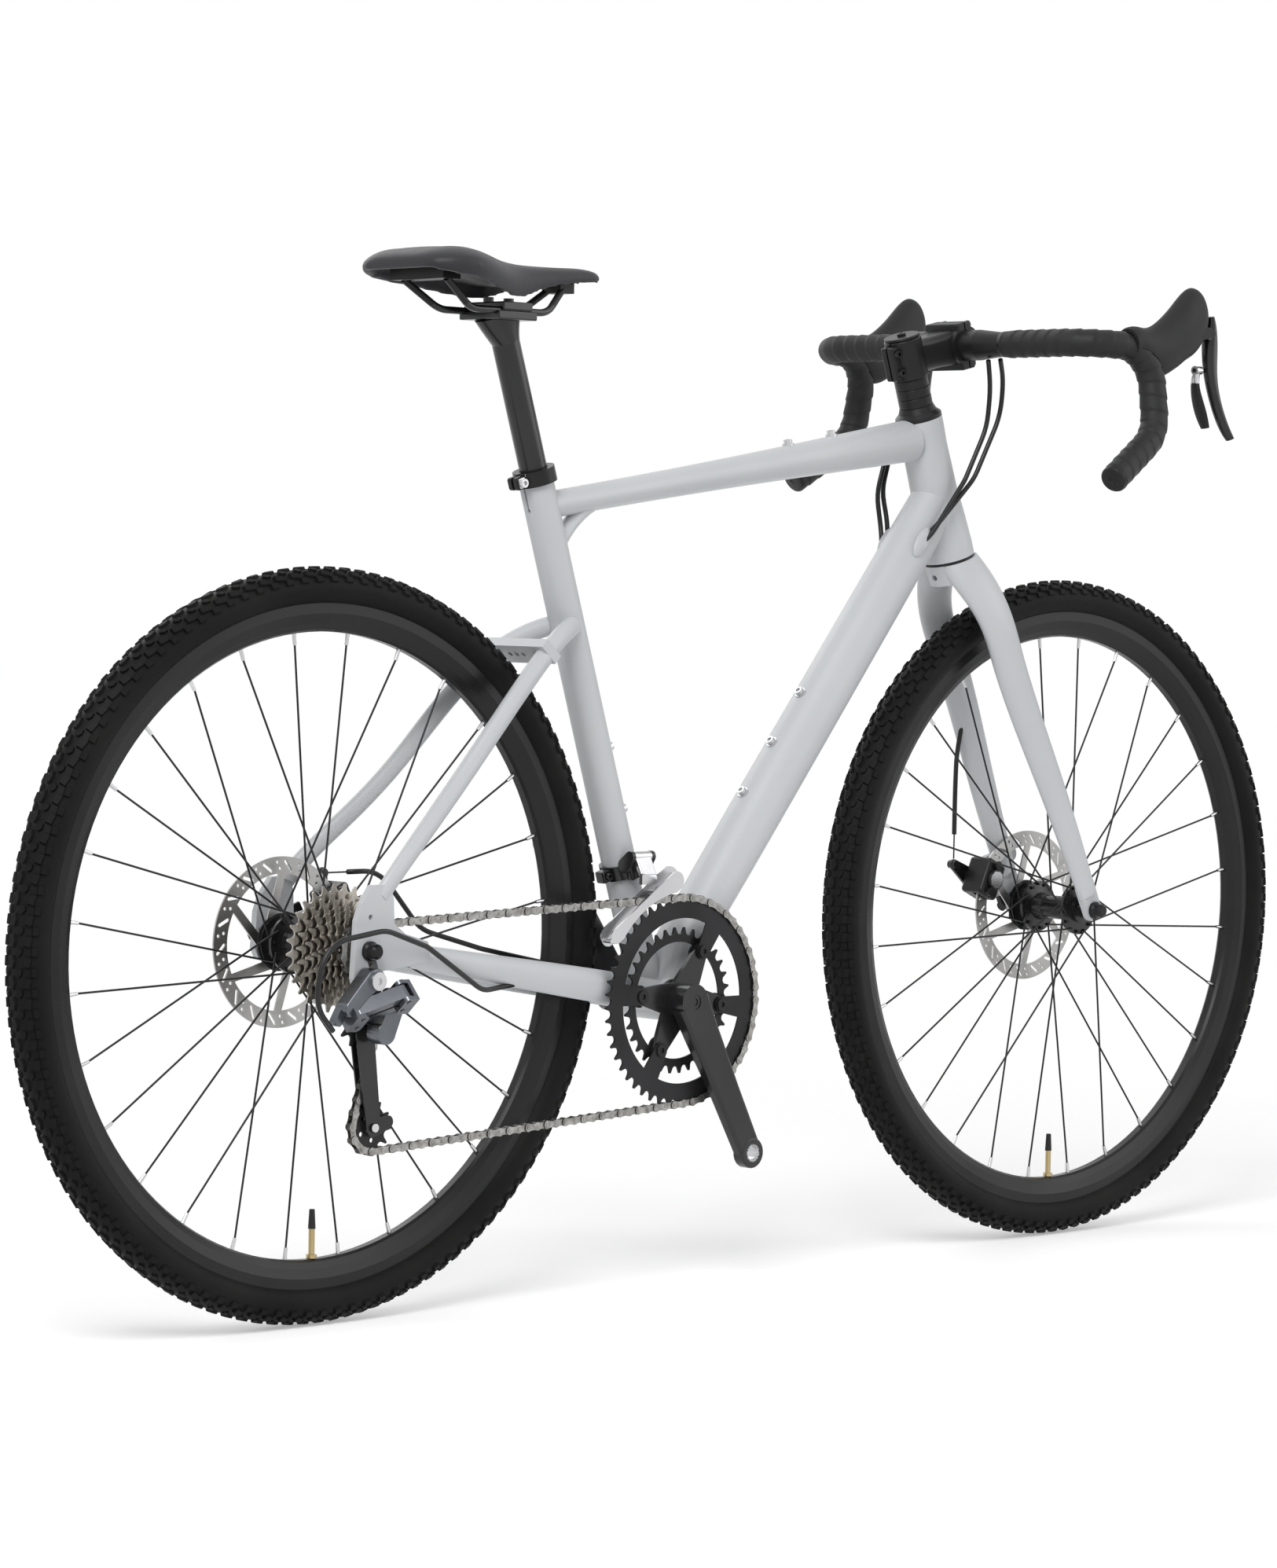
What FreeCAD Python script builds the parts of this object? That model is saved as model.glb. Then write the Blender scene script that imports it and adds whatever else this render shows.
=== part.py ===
import FreeCAD, Part
import math
import os

os.makedirs("parts", exist_ok=True)
V = FreeCAD.Vector

# Layout of the whole bicycle, in mm and degrees
WHEELBASE = 1040.0
TYRE_RADIUS = 350.0
TYRE_WIDTH = 40.0
BB_DROP = 68.0
CHAINSTAY = 437.0
SEAT_ANGLE = 72.0
HEAD_ANGLE = 71.0
FORK_OFFSET = 50.0
FORK_LENGTH = 408.0

# Frame tubes
HEAD_TUBE = 150.0
SEAT_TUBE = 540.0
SEAT_TUBE_RADIUS = 17.0
DOWN_TUBE_RADIUS = 26.5
TOP_TUBE_DEPTH = 34.0
TUBE_WALL = 2.2
SHELL_RADIUS = 21.0
SHELL_WIDTH = 68.0
STAY_GAP = 26.0
HUB_FRONT = 100.0
HUB_REAR = 135.0
DROPOUT = 7.0

# Seat
POST_RADIUS = 13.6
POST_RISE = 140.0
SADDLE_LENGTH = 256.0
SADDLE_WIDTH = 148.0
SADDLE_HEIGHT = 52.0
RAIL_RADIUS = 3.5

# Cockpit
STEERER_RADIUS = 14.3
SPACER_HEIGHT = 10.0
STEM_LENGTH = 70.0
STEM_ANGLE = -6.0
CLAMP_RADIUS = 15.9
BAR_RADIUS = 11.9
BAR_WIDTH = 392.0
BAR_REACH = 84.0
BAR_DROP = 138.0
BAR_FLARE = 27.0
TAPE = 2.7
CABLE = 2.5

# Wheels
RIM_WIDTH = 24.0
RIM_DEPTH = 27.0
SPOKES = 28
SPOKE_RADIUS = 1.0
ROTOR_RADIUS = 80.0
ROTOR_THICKNESS = 1.8
QR_FRONT = 118.0
QR_REAR = 30.0

# Drive
CRANK_LENGTH = 170.0
CRANK_ANGLE = -63.6
BOLT_CIRCLE = 55.0
RING_TEETH = 50
SMALL_RING_TEETH = 34
COGS = (11, 13, 15, 17, 19, 21, 24, 28)
COG_PITCH = 4.8
PULLEY_TEETH = 11
PITCH = 12.7
ROLLER = 3.9
RING_LINE = 47.0
COG_LINE = 62.0
CAGE_LENGTH = 100.0
LINK_LENGTH = 46.0
LINK_REST = 30.0
SLANT = 42.0

# Running gaps
FIT = 0.05
GAP = 0.35

# Derived places
REAR = V(-WHEELBASE / 2, 0, TYRE_RADIUS)
FRONT = V(WHEELBASE / 2, 0, TYRE_RADIUS)
BB = REAR + V(math.sqrt(CHAINSTAY ** 2 - BB_DROP ** 2), 0, -BB_DROP)
HEAD = math.radians(HEAD_ANGLE)
STEER = V(-math.cos(HEAD), 0, math.sin(HEAD))
AHEAD = V(math.sin(HEAD), 0, math.cos(HEAD))
SIDE = V(0, 1, 0)
UP = V(0, 0, 1)
CROWN = FRONT - AHEAD * FORK_OFFSET + STEER * FORK_LENGTH
SEAT = math.radians(SEAT_ANGLE)
SEAT_UP = V(-math.cos(SEAT), 0, math.sin(SEAT))
SEAT_FWD = V(math.sin(SEAT), 0, math.cos(SEAT))
HEAD_LOW = 3.0
HEAD_TOP = HEAD_LOW + HEAD_TUBE
STACK = HEAD_TOP + 14.1 + 3 * SPACER_HEIGHT
CLAMP_TALL = 42.0
TILT = math.radians(STEM_ANGLE)
STEM_DIR = AHEAD * math.cos(TILT) + STEER * math.sin(TILT)
STEM_UP = STEER * math.cos(TILT) - AHEAD * math.sin(TILT)
STEM_FOOT = CROWN + STEER * (STACK + CLAMP_TALL / 2)
BAR = STEM_FOOT + STEM_DIR * STEM_LENGTH
HALF = BAR_WIDTH / 2
COLLAR = BB + SEAT_UP * SEAT_TUBE
POST_TOP = COLLAR + SEAT_UP * POST_RISE
HANGER = REAR + V(-5, 0, -26)


def unit(v):
    """The vector at length one."""
    return V(v) * (1.0 / v.Length)


def solid(shape):
    """The shape with its faces turned outwards."""
    if shape.Volume < 0:
        shape.reverse()
    return shape


def save(name, *shapes):
    """Write one node, made of every solid in the shapes."""
    solids = [s for shape in shapes for s in shape.Solids]
    Part.makeCompound(solids).exportStep("parts/%s.step" % name)


def steer(x, y, z):
    """A place in the steering frame: ahead of the axis, left, up from the crown."""
    return CROWN + AHEAD * x + SIDE * y + STEER * z


def seat(x, y, z):
    """A place in the seat tube frame: ahead of the axis, left, up from the bottom bracket."""
    return BB + SEAT_FWD * x + SIDE * y + SEAT_UP * z


def rod(p, q, r):
    return Part.makeCylinder(r, (q - p).Length, p, q - p)


def cone(p, q, r1, r2):
    if abs(r1 - r2) < 1e-6:
        return rod(p, q, r1)
    return Part.makeCone(r1, r2, (q - p).Length, p, q - p)


def ring(p, q, outer, inner):
    """A tube between two places."""
    reach = unit(q - p)
    return rod(p, q, outer).cut(rod(p - reach, q + reach, inner))


def across(centre, y0, y1, r):
    """A disc about the Y axis between two widths."""
    return rod(V(centre.x, y0, centre.z), V(centre.x, y1, centre.z), r)


def ring_across(centre, y0, y1, outer, inner):
    return ring(V(centre.x, y0, centre.z), V(centre.x, y1, centre.z), outer, inner)


def block(centre, dx, dy, dz):
    return Part.makeBox(dx, dy, dz, centre - V(dx / 2, dy / 2, dz / 2))


def framed(shape, origin, x_axis, y_axis, z_axis):
    """A shape drawn at the world origin, set into another frame."""
    moved = shape.copy()
    moved.Placement = FreeCAD.Placement(FreeCAD.Matrix(
        x_axis.x, y_axis.x, z_axis.x, origin.x,
        x_axis.y, y_axis.y, z_axis.y, origin.y,
        x_axis.z, y_axis.z, z_axis.z, origin.z,
        0, 0, 0, 1)).multiply(moved.Placement)
    return moved


def cuboid(origin, x_axis, y_axis, z_axis, x0, x1, y0, y1, z0, z1):
    """A box between limits along three directions."""
    box = Part.makeBox(x1 - x0, y1 - y0, z1 - z0, V(x0, y0, z0))
    return framed(box, origin, x_axis, y_axis, z_axis)


def turned(profile, base, axis):
    """Revolve a closed (radius, height) outline about an axis."""
    points = [V(r, 0, h) for r, h in profile]
    points.append(points[0])
    face = Part.Face(Part.makePolygon(points))
    body = solid(face.revolve(V(0, 0, 0), UP, 360))
    body.Placement = FreeCAD.Placement(base, FreeCAD.Rotation(UP, axis))
    return body


def plate(points, y0, y1):
    """Extrude an (x, z) outline between two widths."""
    corners = [V(x, y0, z) for x, z in points]
    corners.append(corners[0])
    return solid(Part.Face(Part.makePolygon(corners)).extrude(V(0, y1 - y0, 0)))


def capsule(p, q, r1, r2, depth):
    """The outline round two circles, extruded by a depth vector."""
    along = unit(q - p)
    over = unit(depth).cross(along)
    lean = math.acos(max(-0.999, min(0.999, (r1 - r2) / (q - p).Length)))
    left = along * math.cos(lean) + over * math.sin(lean)
    right = along * math.cos(lean) - over * math.sin(lean)
    a, b = p + left * r1, q + left * r2
    c, d = q + right * r2, p + right * r1
    edges = [Part.LineSegment(a, b).toShape(), Part.Arc(b, q + along * r2, c).toShape(),
             Part.LineSegment(c, d).toShape(), Part.Arc(d, p - along * r1, a).toShape()]
    return solid(Part.Face(Part.Wire(edges)).extrude(depth))


def oval(centre, along, major, a, b):
    """An ellipse square to a direction; a lies along the major direction."""
    t = unit(along)
    m = unit(major - t * major.dot(t))
    n = t.cross(m)
    turns = [k * math.pi / 6 for k in range(12)]
    curve = Part.BSplineCurve()
    curve.interpolate(Points=[centre + m * (a * math.cos(k)) + n * (b * math.sin(k)) for k in turns],
                      PeriodicFlag=True)
    return Part.Wire(curve.toShape())


def loft(wires, ruled=False):
    return solid(Part.makeLoft(wires, True, ruled))


def ducts(stations, major, shrink=0.0):
    """A smooth tube through (place, a, b) stations."""
    wires = []
    for i, (place, a, b) in enumerate(stations):
        before = stations[max(0, i - 1)][0]
        after = stations[min(len(stations) - 1, i + 1)][0]
        wires.append(oval(place, after - before, major, a - shrink, b - shrink))
    return loft(wires)


def panel(centre, along, wide, half_w, half_h, r):
    """A rounded rectangle square to a direction."""
    t = unit(along)
    w = unit(wide - t * wide.dot(t))
    h = t.cross(w)
    k = r * (1 - math.sqrt(0.5))

    def at(x, y):
        return centre + w * x + h * y
    edges = []
    for sx, sy in ((1, 1), (-1, 1), (-1, -1), (1, -1)):
        p = at(sx * half_w, sy * (half_h - r))
        m = at(sx * (half_w - k), sy * (half_h - k))
        q = at(sx * (half_w - r), sy * half_h)
        arc = (p, m, q) if sx * sy > 0 else (q, m, p)
        edges.append(arc)
    shapes = []
    for i, arc in enumerate(edges):
        shapes.append(Part.Arc(*arc).toShape())
        shapes.append(Part.LineSegment(arc[2], edges[(i + 1) % 4][0]).toShape())
    return Part.Wire(shapes)


def route(points, bend):
    """Straight runs joined by tangent arcs."""
    edges = []
    last = points[0]
    for i in range(1, len(points) - 1):
        before, corner, after = points[i - 1], points[i], points[i + 1]
        u, w = unit(before - corner), unit(after - corner)
        half = math.acos(max(-1.0, min(1.0, u.dot(w)))) / 2
        if half > math.radians(89.5):
            continue
        room = 0.49 * min((before - corner).Length, (after - corner).Length)
        cut = min(bend / math.tan(half), room)
        a, b = corner + u * cut, corner + w * cut
        middle = unit(u + w)
        reach = cut / math.cos(half) - cut * math.tan(half)
        if (a - last).Length > 1e-3:
            edges.append(Part.LineSegment(last, a).toShape())
        edges.append(Part.Arc(a, corner + middle * reach, b).toShape())
        last = b
    edges.append(Part.LineSegment(last, points[-1]).toShape())
    return Part.Wire(edges)


def pipe(points, bend, r):
    """A round cord along a route."""
    path = route(points, bend)
    start = unit(points[1] - points[0])
    profile = Part.Wire(Part.makeCircle(r, points[0], start))
    return solid(path.makePipeShell([profile], True, True))


def soften(shape, radius, edges=None):
    """Round edges where the rounding holds, else leave them sharp."""
    try:
        rounded = shape.makeFillet(radius, edges or shape.Edges)
        if rounded.isValid() and rounded.Volume > 0 and len(rounded.Solids) == 1:
            return rounded
    except Exception:
        pass
    return shape


def rims(shape, along):
    """The round edges whose plane faces a direction."""
    picked = []
    for edge in shape.Edges:
        curve = edge.Curve
        if isinstance(curve, Part.Circle) and abs(abs(curve.Axis.dot(along)) - 1) < 1e-4:
            picked.append(edge)
    return picked


def fuse(*shapes):
    whole = shapes[0]
    for shape in shapes[1:]:
        whole = whole.fuse(shape)
    return whole.removeSplitter()


def mirror(shape):
    return shape.mirror(V(0, 0, 0), SIDE)


def polar(centre, radius, degrees, y):
    a = math.radians(degrees)
    return V(centre.x + radius * math.cos(a), y, centre.z + radius * math.sin(a))


def bolt(p, axis, head_r, head_h, shank_r, shank):
    """A cap screw whose head stands on a place."""
    axis = unit(axis)
    head = rod(p, p + axis * head_h, head_r)
    socket = rod(p + axis * (head_h * 0.45), p + axis * (head_h + 1), head_r * 0.5)
    return head.fuse(rod(p - axis * shank, p + axis * 0.1, shank_r)).cut(socket)


def pitch_radius(teeth):
    return PITCH / (2 * math.sin(math.pi / teeth))


# Frame

def head_tube_shapes():
    """The tapered head tube, hollow and as a filled cutter."""
    low, top = HEAD_LOW, HEAD_TOP
    outer = [(28, low), (28, low + 12), (26.5, low + 0.27 * HEAD_TUBE), (24.2, low + 0.5 * HEAD_TUBE),
             (23.4, top - 0.2 * HEAD_TUBE), (24.2, top - 9), (24.2, top)]
    inner = [(21.2, top), (21.2, top - 10), (17.6, top - 10), (17.6, low + 0.36 * HEAD_TUBE),
             (21.2, low + 11), (26.25, low + 11), (26.25, low)]
    hollow = turned(outer + inner, CROWN, STEER)
    filled = turned(outer + [(0, top), (0, low)], CROWN, STEER)
    return hollow, filled


def tube_stations(p, q, sizes):
    return [(p + (q - p) * t, a, b) for t, a, b in sizes]


def frame_tubes():
    head, head_full = head_tube_shapes()
    seat_low, seat_high = seat(0, 0, 0), COLLAR
    seat_full = rod(seat_low, seat_high + SEAT_UP * 30, SEAT_TUBE_RADIUS)
    shell_full = across(BB, -SHELL_WIDTH / 2, SHELL_WIDTH / 2, SHELL_RADIUS)
    shell = shell_full.cut(across(BB, -SHELL_WIDTH, SHELL_WIDTH, SHELL_RADIUS - 3.9))
    tube = rod(seat_low, seat_high, SEAT_TUBE_RADIUS).cut(shell_full)
    tube = tube.cut(rod(seat(0, 0, SHELL_RADIUS + 3), seat_high + SEAT_UP, POST_RADIUS + FIT))
    slot = cuboid(COLLAR, SEAT_FWD, SIDE, SEAT_UP, -30, 0, -1.1, 1.1, -36, 5)
    slot = slot.fuse(rod(seat(-30, 0, SEAT_TUBE - 36), seat(0, 0, SEAT_TUBE - 36), 2.0))
    tube = tube.cut(slot)
    seat_tube = fuse(tube, shell)

    low = steer(0, 0, HEAD_LOW + 0.42 * HEAD_TUBE)
    r = DOWN_TUBE_RADIUS
    sizes = [(0.0, 20.3, r), (0.12, 0.9 * r, r + 0.6), (0.35, r, r), (0.7, r, 0.98 * r), (1.0, r, 0.87 * r)]
    stations = tube_stations(BB + V(3, 0, 2), low, sizes)
    down_full = ducts(stations, UP)
    down = down_full.cut(ducts(stations, UP, TUBE_WALL))
    down = down.cut(head_full).cut(seat_full).cut(shell_full)
    down = max(down.Solids, key=lambda s: s.Volume)

    rear_join = seat(0, 0, SEAT_TUBE - 36)
    front_join = steer(0, 0, HEAD_TOP - 0.14 * HEAD_TUBE)
    front_join = front_join - unit(front_join - rear_join) * 20
    d = TOP_TUBE_DEPTH / 2
    sizes = [(0.0, 0.77 * d, 0.86 * d), (0.2, 0.79 * d, 0.92 * d), (0.5, 0.9 * d, 1.02 * d),
             (0.8, 1.12 * d, 1.12 * d), (1.0, 1.28 * d, 1.14 * d)]
    stations = tube_stations(rear_join, front_join, sizes)
    top_full = ducts(stations, UP)
    top = top_full.cut(ducts(stations, UP, TUBE_WALL))
    cover_room = rod(steer(0, 0, HEAD_TOP - 0.1), steer(0, 0, HEAD_TOP + 40), 24.2 + GAP)
    top = top.cut(head_full).cut(seat_full).cut(down_full).cut(cover_room)
    top = max(top.Solids, key=lambda s: s.Volume)
    line = unit(front_join - rear_join)
    gusset = ducts([(seat(2, 0, SEAT_TUBE - 84), 8, 9), (seat(38, 0, SEAT_TUBE - 60), 7.5, 9),
                    (rear_join + line * 105 - UP * 2, 6, 8)], UP)
    gusset = gusset.cut(seat_full).cut(top_full)
    gusset = max(gusset.Solids, key=lambda s: s.Volume)
    return head, top, gusset, down, seat_tube, (head_full, top_full, down_full, seat_full, shell_full)


def stay_line(side):
    """Places of one chainstay, from the shell to the dropout."""
    run = REAR - BB
    out = HUB_REAR / 2
    marks = [(0.02, 22, 15.5, 8.5), (0.12, 26.8, 16, 8.2), (0.235, STAY_GAP + 8, 16, 8.0),
             (0.48, 0.5 * (STAY_GAP + 8 + out) - 3, 14.5, 8.6), (0.78, out - 6.5, 12, 8.0),
             (0.93, out - 0.2, 10.5, 6.2)]
    return [(BB + V(run.x * t, side * y, run.z * t + 2), a, b) for t, y, a, b in marks]


def seat_stay_line(side):
    """Places of one seatstay, from the seat tube to the dropout."""
    out = HUB_REAR / 2
    top = seat(-6, side * 14, 0.715 * SEAT_TUBE)
    end = REAR + V(16, side * (out + 2.2), 48)
    shoulder = top + V(-63, side * (STAY_GAP - 2), -33)
    run = end - shoulder
    return [(top, 9.5, 8.5), (top + V(-32, side * 14, -13), 9.5, 8.5), (shoulder, 9.5, 8.2),
            (shoulder + run * 0.35, 9.3, 8.0), (shoulder + run * 0.7, 9.0, 7.4), (end, 8.2, 5.6)]


def rear_triangle(cutters):
    seat_full, shell_full = cutters[3], cutters[4]
    inner = HUB_REAR / 2
    stays, seats = [], []
    for side in (-1, 1):
        y0 = side * inner
        y1 = side * (inner + DROPOUT)
        stay = ducts(stay_line(side), UP).cut(shell_full).cut(seat_full)
        stay = max(stay.Solids, key=lambda s: s.Volume)
        upper = ducts(seat_stay_line(side), V(-1, 0, 1)).cut(seat_full)
        upper = max(upper.Solids, key=lambda s: s.Volume)
        clear = across(REAR, side * (inner - 24), y0, 60)
        stay = stay.cut(clear)
        upper = upper.cut(clear)
        outline = [(-17, -6), (-15, 28), (-9, 44), (3, 60), (25, 60), (29, 46), (30, 24), (44, 14),
                   (72, 6), (74, -12), (34, -17), (16, -19)]
        if side < 0:
            outline += [(9, -38), (-14, -38), (-18, -24)]
        else:
            outline += [(4, -20), (-12, -16)]
        tab = plate([(REAR.x + x, REAR.z + z) for x, z in outline], y0, y1)
        slip = V(0.36, 0, -1) if side < 0 else V(0.3, 0, -1)
        slot = capsule(V(REAR.x, y0 - side, REAR.z), V(REAR.x, y0 - side, REAR.z) + slip * 50, 5.0, 5.0,
                       V(0, side * (DROPOUT + 2), 0))
        tab = tab.cut(slot)
        if side < 0:
            tab = tab.cut(across(HANGER, y1 - 1, y0 + 1, 5.0))
        eyelet = REAR + V(1, 0, 31)
        tab = tab.cut(across(eyelet, min(y0, y1) - 1, max(y0, y1) + 1, 2.5))
        upper = upper.cut(plate([(REAR.x + x, REAR.z + z) for x, z in outline], y0, y1))
        upper = max(upper.Solids, key=lambda s: s.Volume)
        stays.append(fuse(stay, tab))
        seats.append(upper)
    place = BB + (REAR - BB) * 0.115 + V(0, 0, 2)
    low_bridge = rod(place - SIDE * 40, place + SIDE * 40, 6.5)
    for shape in stays + [shell_full]:
        low_bridge = low_bridge.cut(shape)
    low_bridge = min(low_bridge.Solids, key=lambda s: abs(s.CenterOfMass.y))
    shoulder = seat_stay_line(1)[2][0]
    place = V(shoulder.x + 6, 0, shoulder.z + 8)
    outward = unit(place - REAR)
    bridge = cuboid(place, SIDE, outward, SIDE.cross(outward), -45, 45, -4, 6, -12, 12)
    holes = [rod(place + SIDE * y - outward * 20, place + SIDE * y + outward * 20, 2.8) for y in (-9, 0, 9)]
    bridge = bridge.cut(Part.makeCompound(holes))
    for shape in seats:
        bridge = bridge.cut(shape)
    bridge = min(bridge.Solids, key=lambda s: abs(s.CenterOfMass.y))
    return stays, low_bridge, seats, bridge


def seat_collar_shapes():
    """The clamp ring round the top of the seat tube, and its bolt."""
    r = SEAT_TUBE_RADIUS + FIT
    low, high = SEAT_TUBE - 13, SEAT_TUBE + 1.5
    band = ring(seat(0, 0, low), seat(0, 0, high), r + 3.6, r)
    lip = ring(seat(0, 0, SEAT_TUBE + FIT), seat(0, 0, high), r + 1, POST_RADIUS + 0.5)
    ears = cuboid(BB, SEAT_FWD, SIDE, SEAT_UP, -r - 13, -r - 1, -8, 8, low + 1, high - 1)
    ears = soften(ears, 2.5)
    body = fuse(band, ears, lip).cut(rod(seat(0, 0, low - 1), seat(0, 0, SEAT_TUBE), r))
    body = body.cut(cuboid(BB, SEAT_FWD, SIDE, SEAT_UP, -r - 20, 0, -1.5, 1.5, low - 1, high + 1))
    body = body.cut(rod(seat(0, 0, low - 1), seat(0, 0, high + 1), POST_RADIUS + 0.5))
    middle = (low + high) / 2
    hole = rod(seat(-r - 7.5, -20, middle), seat(-r - 7.5, 20, middle), 2.6)
    body = body.cut(hole)
    screw = bolt(seat(-r - 7.5, -8.05, middle), -SIDE, 4.2, 4.0, 2.5, 15)
    return body, screw


def boss_bolts(cutters):
    """Bottle, bag and rack bosses: screws standing on the tubes."""
    screws = []
    line = unit(steer(0, 0, HEAD_LOW + 0.42 * HEAD_TUBE) - BB)
    over = V(-line.z, 0, line.x)
    for t in (236.0, 300.0, 364.0):
        screws.append(rise(BB + line * t, over, cutters[2]))
    for t in (190.0, 254.0):
        screws.append(rise(seat(0, 0, t), SEAT_FWD, cutters[3]))
    front = steer(0, 0, HEAD_TOP - 0.14 * HEAD_TUBE)
    back = seat(0, 0, SEAT_TUBE - 36)
    along = unit(front - back)
    above = V(-along.z, 0, along.x)
    for t in (137.0, 201.0):
        screws.append(rise(front - along * t, above, cutters[1]))
    return screws


def rise(inside, out, cutter):
    """A screw on the skin of a tube, straight out from a place inside it."""
    probe = Part.LineSegment(inside, inside + out * 60).toShape().common(cutter)
    skin = inside + out * probe.Length
    seatring = rod(skin - out * 2, skin + out * 1.6, 6.0)
    head = bolt(skin + out * 1.6, out, 4.4, 4.0, 2.0, 1.0)
    return fuse(seatring, head).cut(cutter)


# Wheels

def tyre(axle):
    """The casing, hollow for the tube, with its beads inside the rim."""
    half = TYRE_WIDTH / 2
    mid = TYRE_RADIUS - half
    bead = TYRE_RADIUS - 38.8
    lip = bead + 6.1
    inside = RIM_WIDTH / 2 - 1.75
    edge = math.sqrt(max(1.0, half ** 2 - (mid - lip) ** 2))
    skin = half - 3.0
    neck = inside - 1.6
    shelf = lip + 1.5
    wide = math.sqrt(max(1.0, skin ** 2 - (mid - shelf) ** 2))

    def p(r, y):
        return V(r, y, 0)
    edges = []
    for a, b, c in ((p(lip, -edge), p(mid, -half), p(TYRE_RADIUS, 0)),
                    (p(TYRE_RADIUS, 0), p(mid, half), p(lip, edge))):
        edges.append(Part.Arc(a, b, c).toShape())
    chain = [p(lip, edge), p(lip, inside), p(bead, inside), p(bead, neck), p(shelf, neck), p(shelf, wide)]
    edges += [Part.LineSegment(a, b).toShape() for a, b in zip(chain, chain[1:])]
    edges.append(Part.Arc(p(shelf, wide), p(mid, skin), p(mid + skin, 0)).toShape())
    edges.append(Part.Arc(p(mid + skin, 0), p(mid, -skin), p(shelf, -wide)).toShape())
    chain = [p(shelf, -wide), p(shelf, -neck), p(bead, -neck), p(bead, -inside), p(lip, -inside), p(lip, -edge)]
    edges += [Part.LineSegment(a, b).toShape() for a, b in zip(chain, chain[1:])]
    body = solid(Part.Face(Part.Wire(edges)).revolve(V(0, 0, 0), SIDE, 360))
    body.translate(axle)
    return body


def inner_tube(axle):
    """The air tube as a thin torus with its valve at the bottom of the wheel."""
    half = TYRE_WIDTH / 2
    mid = TYRE_RADIUS - half + 2.8
    r = half - 6.4
    torus = Part.makeTorus(mid, r, V(0, 0, 0), SIDE).cut(Part.makeTorus(mid, r - 1.2, V(0, 0, 0), SIDE))
    torus.translate(axle)
    bed = TYRE_RADIUS - 33.0 - RIM_DEPTH
    foot = axle - UP * (mid - r + 0.6)
    stem = rod(foot, axle - UP * (bed - 30), 2.9)
    cap = cone(axle - UP * (bed - 28), axle - UP * (bed - 46), 3.6, 2.6)
    nut = rod(axle - UP * (bed - 0.6), axle - UP * (bed - 4), 5.0)
    return fuse(torus, stem, cap, nut)


def rim(axle):
    """A hollow box rim with hooked walls, nipple holes and the valve hole."""
    w = RIM_WIDTH / 2
    top = TYRE_RADIUS - 33.0
    bead = top - 6.0
    bed = top - RIM_DEPTH
    outer = [(top, w), (bead - 4, w + 0.5), (bed + 8, w - 2.2), (bed + 2, w - 5.2), (bed, w - 8),
             (bed, -w + 8), (bed + 2, -w + 5.2), (bed + 8, -w + 2.2), (bead - 4, -w - 0.5), (top, -w),
             (top, -w + 1.6), (bead, -w + 1.6), (bead, -5), (bead - 4, -4), (bead - 4, 4), (bead, 5),
             (bead, w - 1.6), (top, w - 1.6)]
    cell = [(bead - 5.6, w - 2), (bed + 9, w - 4.2), (bed + 2, w - 9), (bed + 2, -w + 9),
            (bed + 9, -w + 4.2), (bead - 5.6, -w + 2)]
    body = turned(outer, axle, SIDE).cut(turned(cell, axle, SIDE))
    holes = []
    for k in range(SPOKES):
        a = polar(axle, bed - 4, spoke_angle(k), 0)
        b = polar(axle, bed + 4, spoke_angle(k), 0)
        holes.append(rod(a, b, 2.3))
    holes.append(rod(axle - UP * (bed - 5), axle - UP * (top + 2), 3.3))
    return body.cut(Part.makeCompound(holes))


def spoke_angle(k):
    return -90.0 + (k + 0.5) * 360.0 / SPOKES


def spoke_foot(axle, k, flange_left, flange_right, circle):
    """Hub end of spoke k: its place, and the height of its flange."""
    flange = flange_left if k % 2 == 0 else flange_right
    lead = 1 if (k // 2) % 2 == 0 else -1
    angle = spoke_angle(k) + lead * 4 * 360.0 / SPOKES
    out = 1 if flange > 0 else -1
    return polar(axle, circle, angle, flange + lead * out * 3.6), flange


def spokes(axle, flange_left, flange_right, circle):
    made = []
    bed = TYRE_RADIUS - 33.0 - RIM_DEPTH
    for k in range(SPOKES):
        foot, flange = spoke_foot(axle, k, flange_left, flange_right, circle)
        head = polar(axle, bed + 2.5, spoke_angle(k), 0)
        neck = polar(axle, bed - 11, spoke_angle(k), 0)
        wire = rod(foot, neck, SPOKE_RADIUS)
        nipple = cone(neck, head, 1.75, 2.1)
        far = V(foot.x, 2 * flange - foot.y, foot.z)
        elbow = rod(V(foot.x, foot.y, foot.z), far, SPOKE_RADIUS)
        button = rod(far, far + unit(far - foot) * 0.8, 2.0)
        made.append(fuse(wire, nipple, elbow, button, Part.makeSphere(SPOKE_RADIUS, foot)))
    return made


def hub(axle, profile, flange_left, flange_right, circle):
    body = turned(profile, axle, SIDE)
    holes = []
    for k in range(SPOKES):
        foot, flange = spoke_foot(axle, k, flange_left, flange_right, circle)
        holes.append(rod(V(foot.x, flange - 2.6, foot.z), V(foot.x, flange + 2.6, foot.z), SPOKE_RADIUS + 0.3))
    return body.cut(Part.makeCompound(holes))


FRONT_FLANGES = (22.0, -34.0)
REAR_FLANGES = (34.0, -20.0)
FLANGE_CIRCLE = 24.0


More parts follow.
